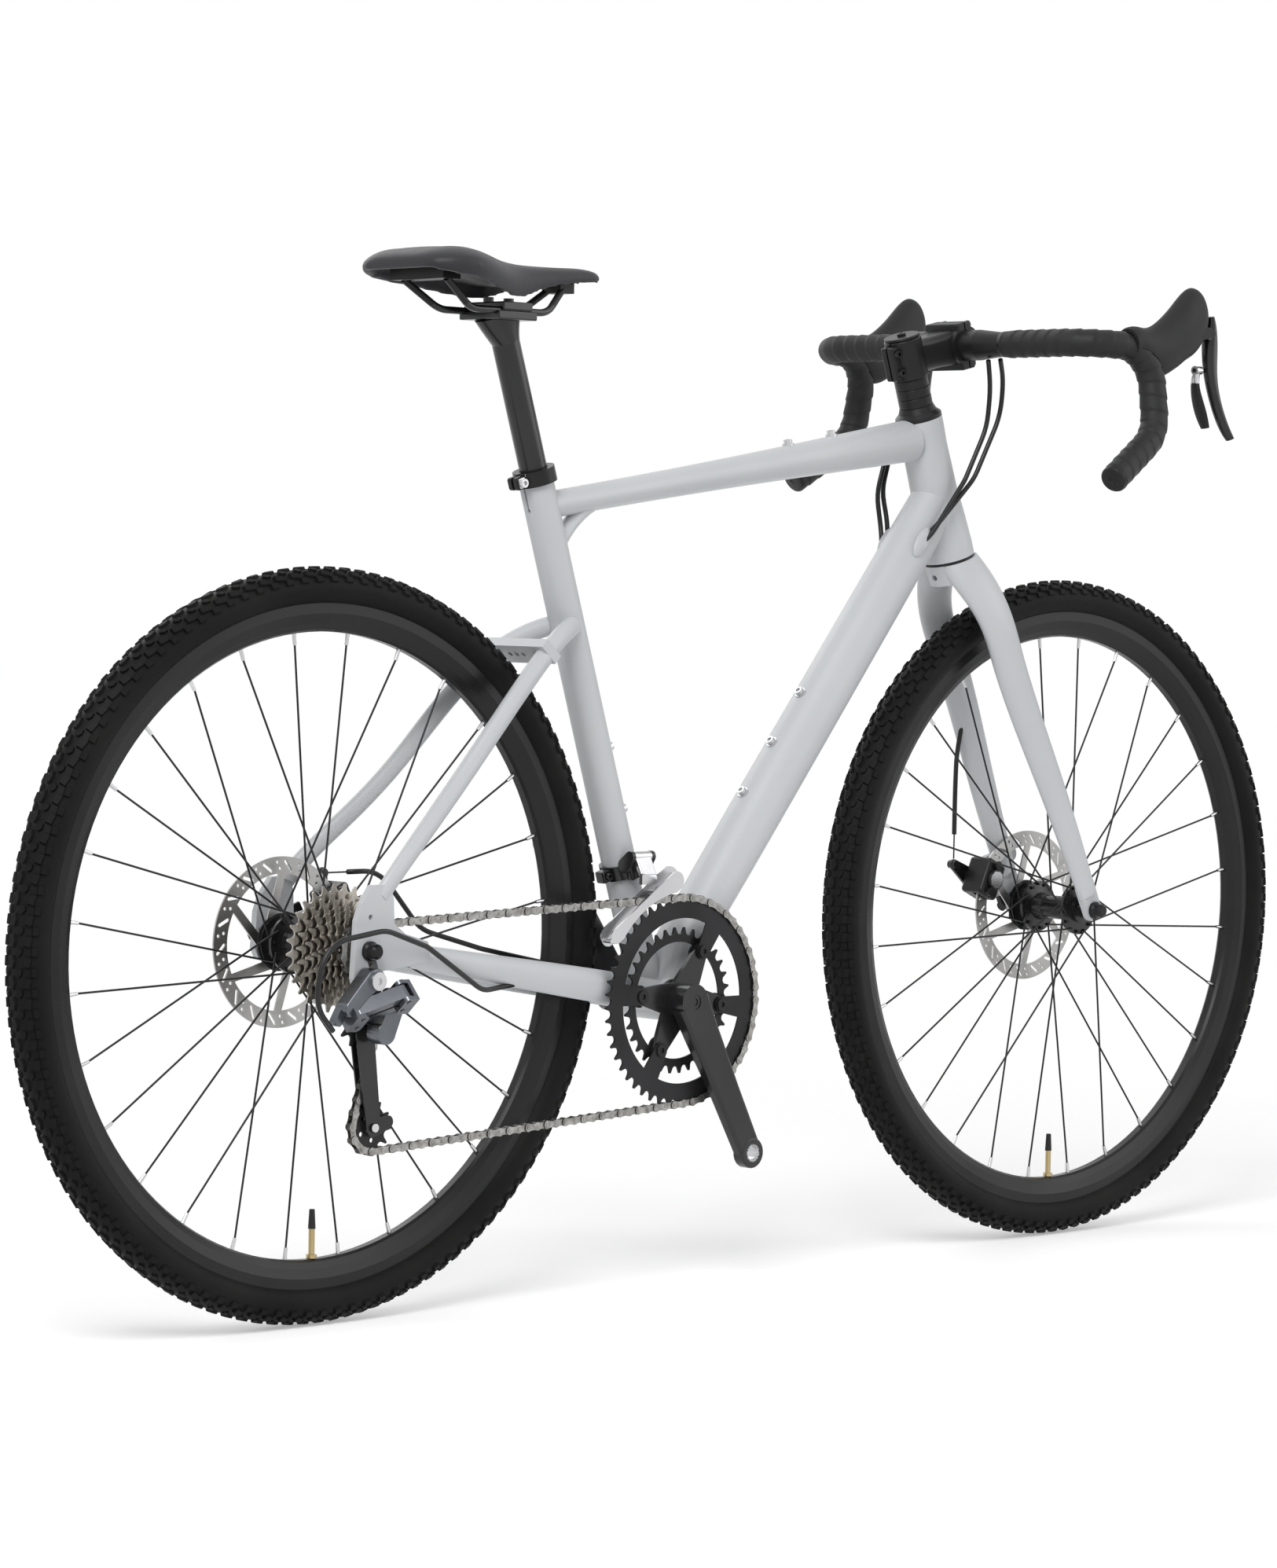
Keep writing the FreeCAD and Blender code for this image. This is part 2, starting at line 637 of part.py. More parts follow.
def hub_profiles():
    f = HUB_FRONT / 2
    r = HUB_REAR / 2
    t = ROTOR_THICKNESS / 2
    fl, fr = FRONT_FLANGES
    front = [(5.05, -f + 4.4), (9, -f + 4.4), (9, -f + 9), (14, -f + 10), (14, fr - 2.2), (27, fr - 1.5),
             (27, fr + 1.5), (15, fr + 3), (12.5, fr + 12), (12.5, fl - 14), (15, fl - 3.5), (27, fl - 1.5),
             (27, fl + 1.5), (19, fl + 3), (19, f - 13.5), (25.5, f - 13.4), (25.5, f - 10 - t - FIT),
             (17.3, f - 10 - t - FIT), (17.3, f - 8), (9, f - 7), (9, f - 4.4), (5.05, f - 4.4)]
    rl, rr = REAR_FLANGES
    rear = [(5.05, -r + 5.5), (10.5, -r + 5.5), (10.5, rr - 4), (18, rr - 3.5), (27, rr - 1.5), (27, rr + 1.5),
            (17, rr + 4), (14, rr + 12), (14, rl - 14), (16, rl - 3.5), (27, rl - 1.5), (27, rl + 1.5),
            (19, rl + 3), (19, r - 19), (25.5, r - 18.9), (25.5, r - 15.5 - t - FIT),
            (17.3, r - 15.5 - t - FIT), (17.3, r - 12.5), (9, r - 10.5), (9, r - 4.4), (5.05, r - 4.4)]
    return front, rear


def rotor(axle, y):
    """A slotted disc on swept arms, with its six screws."""
    y0, y1 = y - ROTOR_THICKNESS / 2, y + ROTOR_THICKNESS / 2
    band_in = ROTOR_RADIUS - 16.0
    band = ring_across(axle, y0, y1, ROTOR_RADIUS, band_in)
    carrier = ring_across(axle, y0, y1, 27.0, 17.4)
    arms = []
    for k in range(6):
        a = polar(axle, 23.5, k * 60, y0)
        b = polar(axle, band_in + 3, k * 60 - 32, y0)
        arms.append(capsule(a, b, 4.6, 4.0, V(0, ROTOR_THICKNESS, 0)))
    body = fuse(band, carrier, *arms)
    cuts = []
    for k in range(18):
        base = k * 20
        a = polar(axle, ROTOR_RADIUS - 12.5, base, y0 - 1)
        b = polar(axle, ROTOR_RADIUS - 4.5, base + 6, y0 - 1)
        cuts.append(capsule(a, b, 1.5, 1.5, V(0, ROTOR_THICKNESS + 2, 0)))
        spot = polar(axle, ROTOR_RADIUS - 5.0, base + 13.5, 0)
        cuts.append(across(spot, y0 - 1, y1 + 1, 1.6))
        spot = polar(axle, ROTOR_RADIUS - 11.0, base + 11, 0)
        cuts.append(across(spot, y0 - 1, y1 + 1, 1.6))
    for k in range(6):
        cuts.append(across(polar(axle, 22.0, k * 60 + 30, 0), y0 - 1, y1 + 1, 2.6))
    body = body.cut(Part.makeCompound(cuts))
    screws = []
    for k in range(6):
        place = polar(axle, 22.0, k * 60 + 30, y1 + 0.05)
        screws.append(bolt(place, SIDE, 4.0, 2.4, 2.5, ROTOR_THICKNESS))
    return [body] + screws


def axle_set(axle, width, angle):
    """A hollow axle with its locknuts, skewer, cam seat and the nut on the drive side."""
    half = width / 2
    body = across(axle, -half - DROPOUT + 1, half + DROPOUT - 1, 4.7)
    body = fuse(body, across(axle, -half + FIT, -half + 4.0, 8.4), across(axle, half - FIT, half - 4.0, 8.4))
    body = body.cut(across(axle, -width, width, 2.7))
    pivot, way, over = qr_frame(axle, width, angle)
    skewer = across(axle, -half - DROPOUT - 6, pivot.y, 2.5)
    y = -half - DROPOUT - 0.1
    profile = [(0, 0), (9.2, 0), (9.2, 3), (7.6, 5), (7.0, 11), (5.0, 13), (0, 13)]
    nut = turned(profile, V(axle.x, y, axle.z), -SIDE)
    pin = rod(pivot - over * 7.4, pivot + over * 7.4, 2.4)
    skewer = fuse(skewer, nut, Part.makeSphere(2.6, pivot), pin)
    profile = [(2.6, 0), (9.0, 0), (9.0, 4), (7.5, 6), (2.6, 6)]
    cam = turned(profile, V(axle.x, half + DROPOUT + 0.1, axle.z), SIDE)
    return [body, skewer, cam]


def qr_frame(axle, width, angle):
    """Pivot of a quick release lever, the way it points when closed, and its pin."""
    a = math.radians(angle)
    way = V(math.cos(a), 0, math.sin(a))
    return V(axle.x, width / 2 + DROPOUT + 12.0, axle.z), way, way.cross(SIDE)


def qr_lever(axle, width, angle):
    """The lever on the left, closed along the given direction."""
    pivot, way, over = qr_frame(axle, width, angle)
    cheeks = [rod(pivot + over * s, pivot + over * (s + 4.2), 5.4) for s in (-7.4, 3.2)]
    blade = loft([panel(pivot + way * 3.6, way, SIDE, 3.8, 7.4, 1.5),
                  panel(pivot + way * 34 - SIDE * 1, way, SIDE, 2.8, 7.5, 1.5),
                  panel(pivot + way * 58 - SIDE * 5, way, SIDE, 2.2, 6.5, 1.5)])
    return fuse(blade, *cheeks).cut(rod(pivot - over * 9, pivot + over * 9, 2.4 + FIT))


# Fork and cockpit

def blade_stations(side):
    f = HUB_FRONT / 2
    marks = [(0.0, 13.0, 24.5, 13.5), (-0.055, 25.5, 24.5, 14.5), (-0.125, 37.5, 23.0, 12.5),
             (-0.27, 41.5, 21.0, 12.0), (-0.6, f - 2.5, 17.5, 10.6), (-0.85, f + 2.6, 14.0, 8.6),
             (-0.955, f + 3.5, 12.5, 6.6)]
    return [(steer(FORK_OFFSET * -t, side * y, FORK_LENGTH * t), a, b) for t, y, a, b in marks]


def fork():
    """Crown with steerer, and the two blades below it."""
    split = -0.13 * FORK_LENGTH
    upper = cuboid(CROWN, AHEAD, SIDE, STEER, -80, 120, -90, 90, split, 0)
    lower = cuboid(CROWN, AHEAD, SIDE, STEER, -150, 200, -90, 90, -FORK_LENGTH - 100, split)
    legs = [ducts(blade_stations(side), AHEAD) for side in (-1, 1)]
    top = STACK + CLAMP_TALL - 2
    sr = STEERER_RADIUS
    neck = turned([(11, -22), (24.5, -22), (26, -12), (27.4, 0), (sr + 5.5, 0), (sr + 5.5, HEAD_LOW + 12),
                   (sr, HEAD_LOW + 0.4 * HEAD_TUBE), (sr, top), (11, top)], CROWN, STEER)
    bore = rod(steer(0, 0, -70), steer(0, 0, top), 11)
    crown = fuse(legs[0].common(upper), legs[1].common(upper), neck).cut(bore)
    crown = crown.cut(rod(steer(-60, 0, -12), steer(0, 0, -12), 3.2))
    blades = []
    for side, leg in zip((-1, 1), legs):
        blade = max(leg.common(lower).Solids, key=lambda s: s.Volume)
        inner = side * HUB_FRONT / 2
        foot = V(FRONT.x, inner, FRONT.z)
        high = steer(FORK_OFFSET * 0.93, inner, -0.93 * FORK_LENGTH)
        tab = capsule(foot, high, 11.5, 12.0, V(0, side * DROPOUT, 0))
        blade = blade.cut(across(FRONT, inner - side * 30, inner, 40))
        blade = fuse(blade, tab)
        slot = capsule(V(FRONT.x, inner - side, FRONT.z), V(FRONT.x, inner - side, FRONT.z) - STEER * 40,
                       5.0, 5.0, V(0, side * 40, 0))
        blade = blade.cut(slot)
        clear = across(FRONT, inner + side * DROPOUT, inner + side * 40, 12.5)
        blades.append(blade.cut(clear))
    mount = disc_mount()
    blades[1] = fuse(blades[1], mount)
    return crown, blades


CALIPER_FRONT = FRONT + V(-66, 0, 30)
CALIPER_REAR = REAR + V(67, 0, 31.4)


def disc_mount():
    """The two tabs on the left blade that carry the front caliper."""
    f = HUB_FRONT / 2
    tabs = []
    for up in (13.0, 47.0):
        a = V(FRONT.x - 14, f - 1, FRONT.z + up + 8)
        b = V(CALIPER_FRONT.x + 13, f - 1, FRONT.z + up)
        tabs.append(capsule(b, a, 6.0, 8.0, V(0, 7, 0)))
    return fuse(*tabs)


def headset():
    low, top = HEAD_LOW, HEAD_TOP
    sr = STEERER_RADIUS + FIT
    seal = ring(steer(0, 0, 0.1), steer(0, 0, low - 0.4), 27.6, sr + 5.5)
    lower = ring(steer(0, 0, low + 0.3), steer(0, 0, low + 9), 25.9, sr + 5.5)
    upper = ring(steer(0, 0, top - 9), steer(0, 0, top - 0.3), 20.85, sr)
    cover = turned([(sr, top + 0.4), (24.2, top + 0.4), (24.2, top + 4), (20, top + 8), (17.6, top + 14),
                    (sr, top + 14)], CROWN, STEER)
    rings = []
    for k in range(3):
        h = top + 14.1 + k * SPACER_HEIGHT
        body = ring(steer(0, 0, h), steer(0, 0, h + SPACER_HEIGHT - 0.1), 17.5, sr)
        rings.append(soften(body, 0.8, rims(body, STEER)))
    return [seal, lower, upper, cover] + rings


def stem():
    """Body, faceplate, top cap and the pinch and faceplate screws."""
    sr = STEERER_RADIUS + FIT
    low, high = STACK + 0.1, STACK + CLAMP_TALL
    collar = rod(steer(0, 0, low), steer(0, 0, high), sr + 5.2)
    collar = soften(collar, 1.5)
    ears = cuboid(CROWN, AHEAD, SIDE, STEER, -27, -8, -8.5, 8.5, low + 3, high - 3)
    ears = soften(ears, 2.5)
    neck = loft([panel(STEM_FOOT + STEM_DIR * 4, STEM_DIR, SIDE, 17.0, 18.5, 8.0),
                 panel(STEM_FOOT + STEM_DIR * (0.5 * STEM_LENGTH), STEM_DIR, SIDE, 16.0, 17.0, 8.0),
                 panel(BAR - STEM_DIR * 8, STEM_DIR, SIDE, 20.0, 18.5, 6.0)])
    clamp = across(BAR, -23, 23, CLAMP_RADIUS + 4.6)
    pads = [cuboid(BAR, STEM_DIR, SIDE, STEM_UP, -11, 9, -23, 23, lo, hi)
            for lo, hi in ((CLAMP_RADIUS - 1, CLAMP_RADIUS + 8.6), (-CLAMP_RADIUS - 8.6, -CLAMP_RADIUS + 1))]
    body = fuse(collar, ears, neck, clamp, *[soften(p, 2.0) for p in pads])
    body = body.cut(rod(steer(0, 0, low - 1), steer(0, 0, high + 1), sr))
    body = body.cut(cuboid(CROWN, AHEAD, SIDE, STEER, -40, -5, -1.0, 1.0, low - 1, high + 1))
    body = body.cut(across(BAR, -60, 60, CLAMP_RADIUS + FIT))
    screws = []
    tools = []
    for y in (-15.5, 15.5):
        for lift in (-1, 1):
            place = BAR + STEM_UP * (lift * (CLAMP_RADIUS + 4.4)) + SIDE * y
            tools.append(rod(place - STEM_DIR * 10, place + STEM_DIR * 30, 2.6))
            screws.append(bolt(place + STEM_DIR * 9.05, STEM_DIR, 4.0, 4.5, 2.5, 16))
    for h in (low + 11, high - 11):
        place = steer(-21.5, -8.55, h)
        tools.append(rod(place - SIDE * 5, place + SIDE * 25, 2.6))
        screws.append(bolt(place, -SIDE, 4.0, 4.0, 2.5, 15))
    body = body.cut(Part.makeCompound(tools))
    ahead = cuboid(BAR, STEM_DIR, SIDE, STEM_UP, 1.0, 60, -60, 60, -60, 60)
    behind = cuboid(BAR, STEM_DIR, SIDE, STEM_UP, -140, -1.0, -60, 60, -90, 90)
    face = body.common(ahead)
    main = body.common(behind)
    cap = rod(steer(0, 0, high + 0.1), steer(0, 0, high + 3.2), sr + 4.4)
    cap = soften(cap, 1.2, rims(cap, STEER))
    screw = bolt(steer(0, 0, high + 3.25), STEER, 4.6, 2.5, 3.0, 2)
    cap = cap.cut(rod(steer(0, 0, high - 5), steer(0, 0, high + 10), 3.1))
    return [main, face, cap, screw] + screws


def bar_points(side, start):
    """Centre line of one side of the handlebar, from a distance off the centre plane."""
    marks = [(0, start, 0), (0, HALF - 4, 0), (BAR_REACH, HALF + 2, -3),
             (0.95 * BAR_REACH, HALF + 0.58 * BAR_FLARE, -0.66 * BAR_DROP), (3, HALF + BAR_FLARE, -BAR_DROP)]
    return [BAR + V(x, side * y, z) for x, y, z in marks]


BAR_BEND = 44.0


def handlebar():
    parts = [across(BAR, -42, 42, CLAMP_RADIUS)]
    for side in (-1, 1):
        centre = BAR + SIDE * (side * 42)
        parts.append(cone(centre - SIDE * (side * 0.5), BAR + SIDE * (side * 78), CLAMP_RADIUS, BAR_RADIUS))
        parts.append(pipe(bar_points(side, 77), BAR_BEND, BAR_RADIUS))
    body = fuse(*parts)
    hollow = [across(BAR, -80, 80, BAR_RADIUS - 2.4)]
    for side in (-1, 1):
        points = bar_points(side, 79)
        points[-1] = points[-1] + unit(points[-1] - points[-2]) * 2
        hollow.append(pipe(points, BAR_BEND, BAR_RADIUS - 2.4))
    for tool in hollow:
        body = body.cut(tool)
    return body


TAPE_START = 82.0


def bar_tape():
    """The wrap on each side, with a finishing band and the end plug."""
    made = []
    for side in (-1, 1):
        points = bar_points(side, TAPE_START)
        wrap = pipe(points, BAR_BEND, BAR_RADIUS + TAPE)
        points = bar_points(side, TAPE_START - 4)
        away = unit(points[-1] - points[-2])
        points[-1] = points[-1] + away * 4
        wrap = wrap.cut(pipe(points, BAR_BEND, BAR_RADIUS + FIT))
        band = ring(BAR + SIDE * (side * (TAPE_START - 9)), BAR + SIDE * (side * (TAPE_START - 0.1)),
                    BAR_RADIUS + 1.6, BAR_RADIUS + 0.6)
        end = bar_points(side, TAPE_START)[-1]
        plug = fuse(rod(end + away * 0.1, end + away * 4.5, BAR_RADIUS + TAPE - 0.4),
                    rod(end - away * 14, end + away * 1, BAR_RADIUS - 2.7))
        plug = soften(plug, 1.2, [e for e in rims(plug, away) if (e.CenterOfMass - end).dot(away) > 4])
        made += [wrap, band, plug]
    return made


LEVER_PIVOT = V(171, 0, 16)


def hood_place(side, x, z, out=0.0):
    """A place on one lever: ahead of the bar, above it, outside the hood's middle."""
    return BAR + V(x, side * (HALF + 1 + out), z)


def hoods():
    """Bracket and rubber of both levers, with the lever pins."""
    made = []
    for side in (-1, 1):
        marks = [(50, 0, 15.8, 15.5), (70, -2, 20.0, 16.2), (92, -6, 26.5, 16.8), (108, 0.5, 28.5, 17.0),
                 (124, 10.5, 30.5, 16.8), (138, 20.7, 32.8, 16.3), (150, 28, 33.5, 15.2), (159, 33, 29.0, 13.8),
                 (165, 35, 21.0, 11.3)]
        wires = [oval(hood_place(side, x, z), V(1, 0, 0.12), UP, a, b) for x, z, a, b in marks]
        body = loft(wires)
        points = bar_points(side, TAPE_START)
        body = body.cut(pipe(points, BAR_BEND, BAR_RADIUS + TAPE + FIT))
        body = max(body.Solids, key=lambda s: s.Volume)
        pivot = hood_place(side, LEVER_PIVOT.x, LEVER_PIVOT.z)
        body = body.cut(rod(pivot - SIDE * 30, pivot + SIDE * 30, 9.0))
        lugs = []
        for edge in (-1, 1):
            a = pivot + SIDE * (edge * 9.4) - V(16, 0, -1)
            b = pivot + SIDE * (edge * 9.4)
            lugs.append(capsule(a, b, 6.5, 5.0, SIDE * (edge * 3.0)))
        pin = rod(pivot - SIDE * 12.0, pivot + SIDE * 12.0, 2.4)
        made.append(fuse(body, pin, *lugs))
    return made


def paddle_place(side, x):
    """A place on the pivot of a shift paddle."""
    return hood_place(side, x, -22, -2)


def brake_levers():
    """Both levers, each with the stub that carries its shift paddle."""
    made = []
    for side in (-1, 1):
        pivot = hood_place(side, LEVER_PIVOT.x, LEVER_PIVOT.z)
        marks = [(178, 34, 0, 4.0, 8.0), (181, 18, 0, 7.0, 8.6), (181, -6, 1, 8.5, 8.0), (181, -28, 3, 7.2, 7.0),
                 (185, -52, 6, 5.6, 6.4), (193, -74, 9, 4.6, 6.2), (204, -92, 12, 3.0, 5.2)]
        stations = [(hood_place(side, x, z, out), a, b) for x, z, out, a, b in marks]
        blade = ducts(stations, V(1, 0, 0))
        barrel = rod(pivot - SIDE * 9.0, pivot + SIDE * 9.0, 6.2)
        web = capsule(pivot - SIDE * 6, pivot - SIDE * 6 + V(9, 0, 0), 6.0, 6.0, SIDE * 12)
        stub = rod(paddle_place(side, 182), paddle_place(side, 159.5), 2.2)
        body = fuse(blade, barrel, web, stub).cut(rod(pivot - SIDE * 40, pivot + SIDE * 40, 2.4 + FIT))
        made.append(max(body.Solids, key=lambda s: s.Volume))
    return made


def shift_paddles():
    """The inner paddle behind each brake lever, hung on the stub of that lever."""
    made = []
    for side in (-1, 1):
        marks = [(165, -22, -2, 3.8, 4.0), (164.5, -36, -4, 3.6, 5.0), (168.5, -52, -4, 3.2, 7.0),
                 (174.5, -68, -3, 2.6, 7.5), (180, -81, -2, 2.0, 5.5)]
        stations = [(hood_place(side, x, z, out), a, b) for x, z, out, a, b in marks]
        eye = rod(paddle_place(side, 160.5), paddle_place(side, 169.5), 4.6)
        bore = rod(paddle_place(side, 150), paddle_place(side, 190), 2.2 + FIT)
        made.append(fuse(ducts(stations, V(1, 0, 0)), eye).cut(bore))
    return made


# Seat

def seatpost():
    """The post with its forged head."""
    low = seat(0, 0, SEAT_TUBE - 120)
    body = rod(low, POST_TOP, POST_RADIUS)
    head = loft([oval(POST_TOP - SEAT_UP * 14, SEAT_UP, SEAT_FWD, POST_RADIUS - 0.05, POST_RADIUS - 0.1),
                 oval(POST_TOP + SEAT_UP * 4 - SEAT_FWD * 2, SEAT_UP, SEAT_FWD, 22, 15.5),
                 oval(POST_TOP + SEAT_UP * 14 - SEAT_FWD * 2, SEAT_UP, SEAT_FWD, 27, 17)])
    flat = cuboid(V(POST_TOP.x, 0, cradle() - 0.1), V(1, 0, 0), SIDE, UP, -80, 80, -60, 60, 0, 60)
    body = fuse(body, head).cut(flat)
    body = body.cut(rod(low - SEAT_UP, POST_TOP - SEAT_UP * 20, POST_RADIUS - 2.2))
    return max(body.Solids, key=lambda s: s.Volume)


def cradle():
    """Height of the seat of the saddle clamp."""
    return POST_TOP.z + 7.0


RAIL_SPREAD = 22.0


def saddle_frame():
    """Middle of the clamp and the ground height of the rails."""
    return POST_TOP.x - 6.0, cradle() + 8.5


def saddle_clamp():
    x, z = saddle_frame()
    low = soften(block(V(x, 0, z - 4.3), 50, 56, 8.2), 1.5)
    high = soften(block(V(x, 0, z + 4.3), 38, 56, 8.2), 1.5)
    grooves = [rod(V(x - 60, s * RAIL_SPREAD, z), V(x + 60, s * RAIL_SPREAD, z), RAIL_RADIUS + FIT) for s in (-1, 1)]
    tools = Part.makeCompound(grooves + [rod(V(x + d, 0, z - 40), V(x + d, 0, z + 40), 3.1) for d in (-13, 13)])
    screws = [bolt(V(x + d, 0, z + 8.5), UP, 5.0, 4.5, 3.0, 16.5) for d in (-13, 13)]
    return [low.cut(tools), high.cut(tools)] + screws


def saddle_marks():
    """Stations from the tail: place, half width, height of the top, height of the skirt edge."""
    k = SADDLE_WIDTH / 148.0
    n = SADDLE_LENGTH / 284.0
    x, z = saddle_frame()
    base = z + 2.0
    h = SADDLE_HEIGHT / 52.0
    marks = [(-146, 39, 41, 32.5), (-138, 56, 47, 29), (-122, 67, 52, 26), (-100, 72, 54, 23.5),
             (-74, 66, 52.5, 20), (-46, 53.5, 49, 15), (-18, 41, 45.5, 10), (10, 31.5, 43.3, 10.5), (42, 25.5, 42.5, 18.5),
             (80, 22, 43.2, 25.5), (112, 20, 44, 29), (130, 16.5, 42, 31), (138, 10.5, 38.5, 32)]
    return [(x + a * n, b * k, base + c * h, base + d * h) for a, b, c, d in marks]


def saddle_section(x, w, top, edge):
    """One crowned section: drawn-in sides, rounded shoulders, a flat underside."""
    tall = top - edge

    def p(y, z):
        return V(x, y, z)
    shoulder = edge + 0.62 * tall
    a, b = p(0.9 * w, edge), p(w, edge + 0.28 * tall)
    c = p(0.955 * w, shoulder)
    m = p(0.74 * w, edge + 0.885 * tall)
    d = p(0.42 * w, edge + 0.975 * tall)
    e = p(0, top)

    def flip(q):
        return V(q.x, -q.y, q.z)
    edges = [Part.Arc(a, b, c).toShape(), Part.Arc(c, m, d).toShape(), Part.Arc(d, e, flip(d)).toShape(),
             Part.Arc(flip(d), flip(m), flip(c)).toShape(), Part.Arc(flip(c), flip(b), flip(a)).toShape(),
             Part.LineSegment(flip(a), a).toShape()]
    return Part.Wire(edges)


def saddle():
    """Padded cover, and the shell with its rails below."""
    marks = saddle_marks()
    cover = loft([saddle_section(*m) for m in marks])
    def hollow(width, drop):
        wires = []
        for x, w, top, edge in marks[1:-1]:
            roof = edge + 0.45 * (top - edge) - drop
            wires.append(panel(V(x, 0, roof - 25), V(1, 0, 0), SIDE, width * w, 25, 2.0))
        return loft(wires)
    cover = cover.cut(hollow(0.8, 0.0))
    cover = max(cover.Solids, key=lambda s: s.Volume)
    room = hollow(0.79, 0.15)
    lower = room.copy()
    lower.translate(V(0, 0, -2.8))
    base = max(room.cut(lower).Solids, key=lambda s: s.Volume)
    x, z = saddle_frame()
    n = SADDLE_LENGTH / 284.0
    rails = []
    for s in (-1, 1):
        points = [V(x - 104 * n, s * 30, z + 26), V(x - 62 * n, s * RAIL_SPREAD, z), V(x + 48 * n, s * RAIL_SPREAD, z),
                  V(x + 84 * n, s * 9, z + 26)]
        rails.append(pipe(points, 30, RAIL_RADIUS))
    for place, size in ((V(x - 104 * n, 0, z + 32), (22, 74)), (V(x + 86 * n, 0, z + 28), (18, 26))):
        seat_block = block(place, size[0], size[1], 14).common(room)
        base = fuse(base, seat_block)
    base = fuse(base, *rails)
    return cover.cut(base), base


# Drive

def tangent(a, ra, sa, b, rb, sb):
    """Ends of the line that leaves circle a and meets circle b; s is +1 for a clockwise turn."""
    dx, dz = b[0] - a[0], b[1] - a[1]
    far = math.hypot(dx, dz)
    heading = math.atan2(dz, dx) + math.asin(max(-1.0, min(1.0, (sb * rb - sa * ra) / far)))
    rx, rz = math.sin(heading), -math.cos(heading)
    p = (a[0] - sa * ra * rx, a[1] - sa * ra * rz)
    q = (b[0] - sb * rb * rx, b[1] - sb * rb * rz)
    return p, q


def chain_path(wheels):
    """Dense centre line over (centre, radius, turn, y) wheels: points with the wheel each lies on."""
    spans = []
    count = len(wheels)
    for i in range(count):
        a, b = wheels[i], wheels[(i + 1) % count]
        spans.append(tangent(a[0], a[1], a[2], b[0], b[1], b[2]))
    points = []
    for i, (centre, radius, turn, y) in enumerate(wheels):
        p, q = spans[i - 1][1], spans[i][0]
        start = math.atan2(p[1] - centre[1], p[0] - centre[0])
        end = math.atan2(q[1] - centre[1], q[0] - centre[0])
        sweep = (start - end) % (2 * math.pi) if turn > 0 else (end - start) % (2 * math.pi)
        steps = max(2, int(sweep * radius / 0.4))
        for k in range(steps):
            angle = start - turn * sweep * k / steps
            points.append((centre[0] + radius * math.cos(angle), y, centre[1] + radius * math.sin(angle), i))
        a, b = spans[i]
        far = math.hypot(b[0] - a[0], b[1] - a[1])
        y_next = wheels[(i + 1) % count][3]
        steps = max(2, int(far / 0.4))
        ease = min(22.0, far / 3)
        for k in range(steps):
            t = k / steps
            s = max(0.0, min(1.0, (t * far - ease) / (far - 2 * ease)))
            points.append((a[0] + (b[0] - a[0]) * t, y + (y_next - y) * s, a[1] + (b[1] - a[1]) * t, -1))
    return points


def walk(points):
    """Step one pitch at a time round the path: the pins, and how many pitches the loop holds."""
    pins = [points[0]]
    last = points[0]
    previous = points[0]
    for point in points[1:] + points[:1]:
        far = math.dist(point[:3], last[:3])
        if far >= PITCH:
            back = math.dist(previous[:3], last[:3])
            t = (PITCH - back) / max(1e-9, far - back)
            mix = tuple(previous[k] + (point[k] - previous[k]) * t for k in range(3)) + (point[3],)
            pins.append(mix)
            last = mix
        previous = point
    return pins, len(pins) - 1 + math.dist(last[:3], points[0][:3]) / PITCH


CAGE_PIVOT = REAR + V(8, 0, -74)
GUIDE_OFFSET = (-7.0, 10.0)
CAGE_LEAN = -83.7


def cage_places(swing):
    """Guide and tension pulley centres for a swing of the cage."""
    a = math.radians(swing)
    gx, gz = GUIDE_OFFSET
    lean = math.radians(CAGE_LEAN + swing)
    guide = (CAGE_PIVOT.x + gx * math.cos(a) - gz * math.sin(a), CAGE_PIVOT.z + gx * math.sin(a) + gz * math.cos(a))
    tension = (guide[0] + CAGE_LENGTH * math.cos(lean), guide[1] + CAGE_LENGTH * math.sin(lean))
    return guide, tension


def drive_wheels(swing):
    guide, tension = cage_places(swing)
    small = pitch_radius(PULLEY_TEETH)
    return [((BB.x, BB.z), pitch_radius(RING_TEETH), 1, -RING_LINE), (tension, small, 1, -COG_LINE),
            (guide, small, -1, -COG_LINE), ((REAR.x, REAR.z), pitch_radius(COGS[0]), 1, -COG_LINE)]


def close_chain():
    """The cage swing at which an even count of links just closes, and its pins."""
    wanted = walk(chain_path(drive_wheels(0.0)))[1]
    links = 2 * int(round(wanted / 2))
    trials = [(abs(s), s) for s in range(-40, 41, 2)]
    values = {s: walk(chain_path(drive_wheels(float(s))))[1] - links for _, s in trials}
    low = high = None
    for _, s in sorted(trials):
        if s + 2 in values and values[s] * values[s + 2] <= 0:
            low, high = float(s), float(s + 2)
            break
    if low is None:
        return 0.0, walk(chain_path(drive_wheels(0.0)))[0][:links]
    sign = values[int(low)]
    for _ in range(30):
        middle = (low + high) / 2
        value = walk(chain_path(drive_wheels(middle)))[1] - links
        if value * sign > 0:
            low = middle
        else:
            high = middle
    swing = (low + high) / 2
    return swing, walk(chain_path(drive_wheels(swing)))[0][:links]


def tooth_phase(pins, index, centre):
    """Angle of a pin seated on one wheel of the path."""
    seated = [p for p in pins if p[3] == index]
    p = seated[len(seated) // 2]
    return math.degrees(math.atan2(p[2] - centre[1], p[0] - centre[0]))


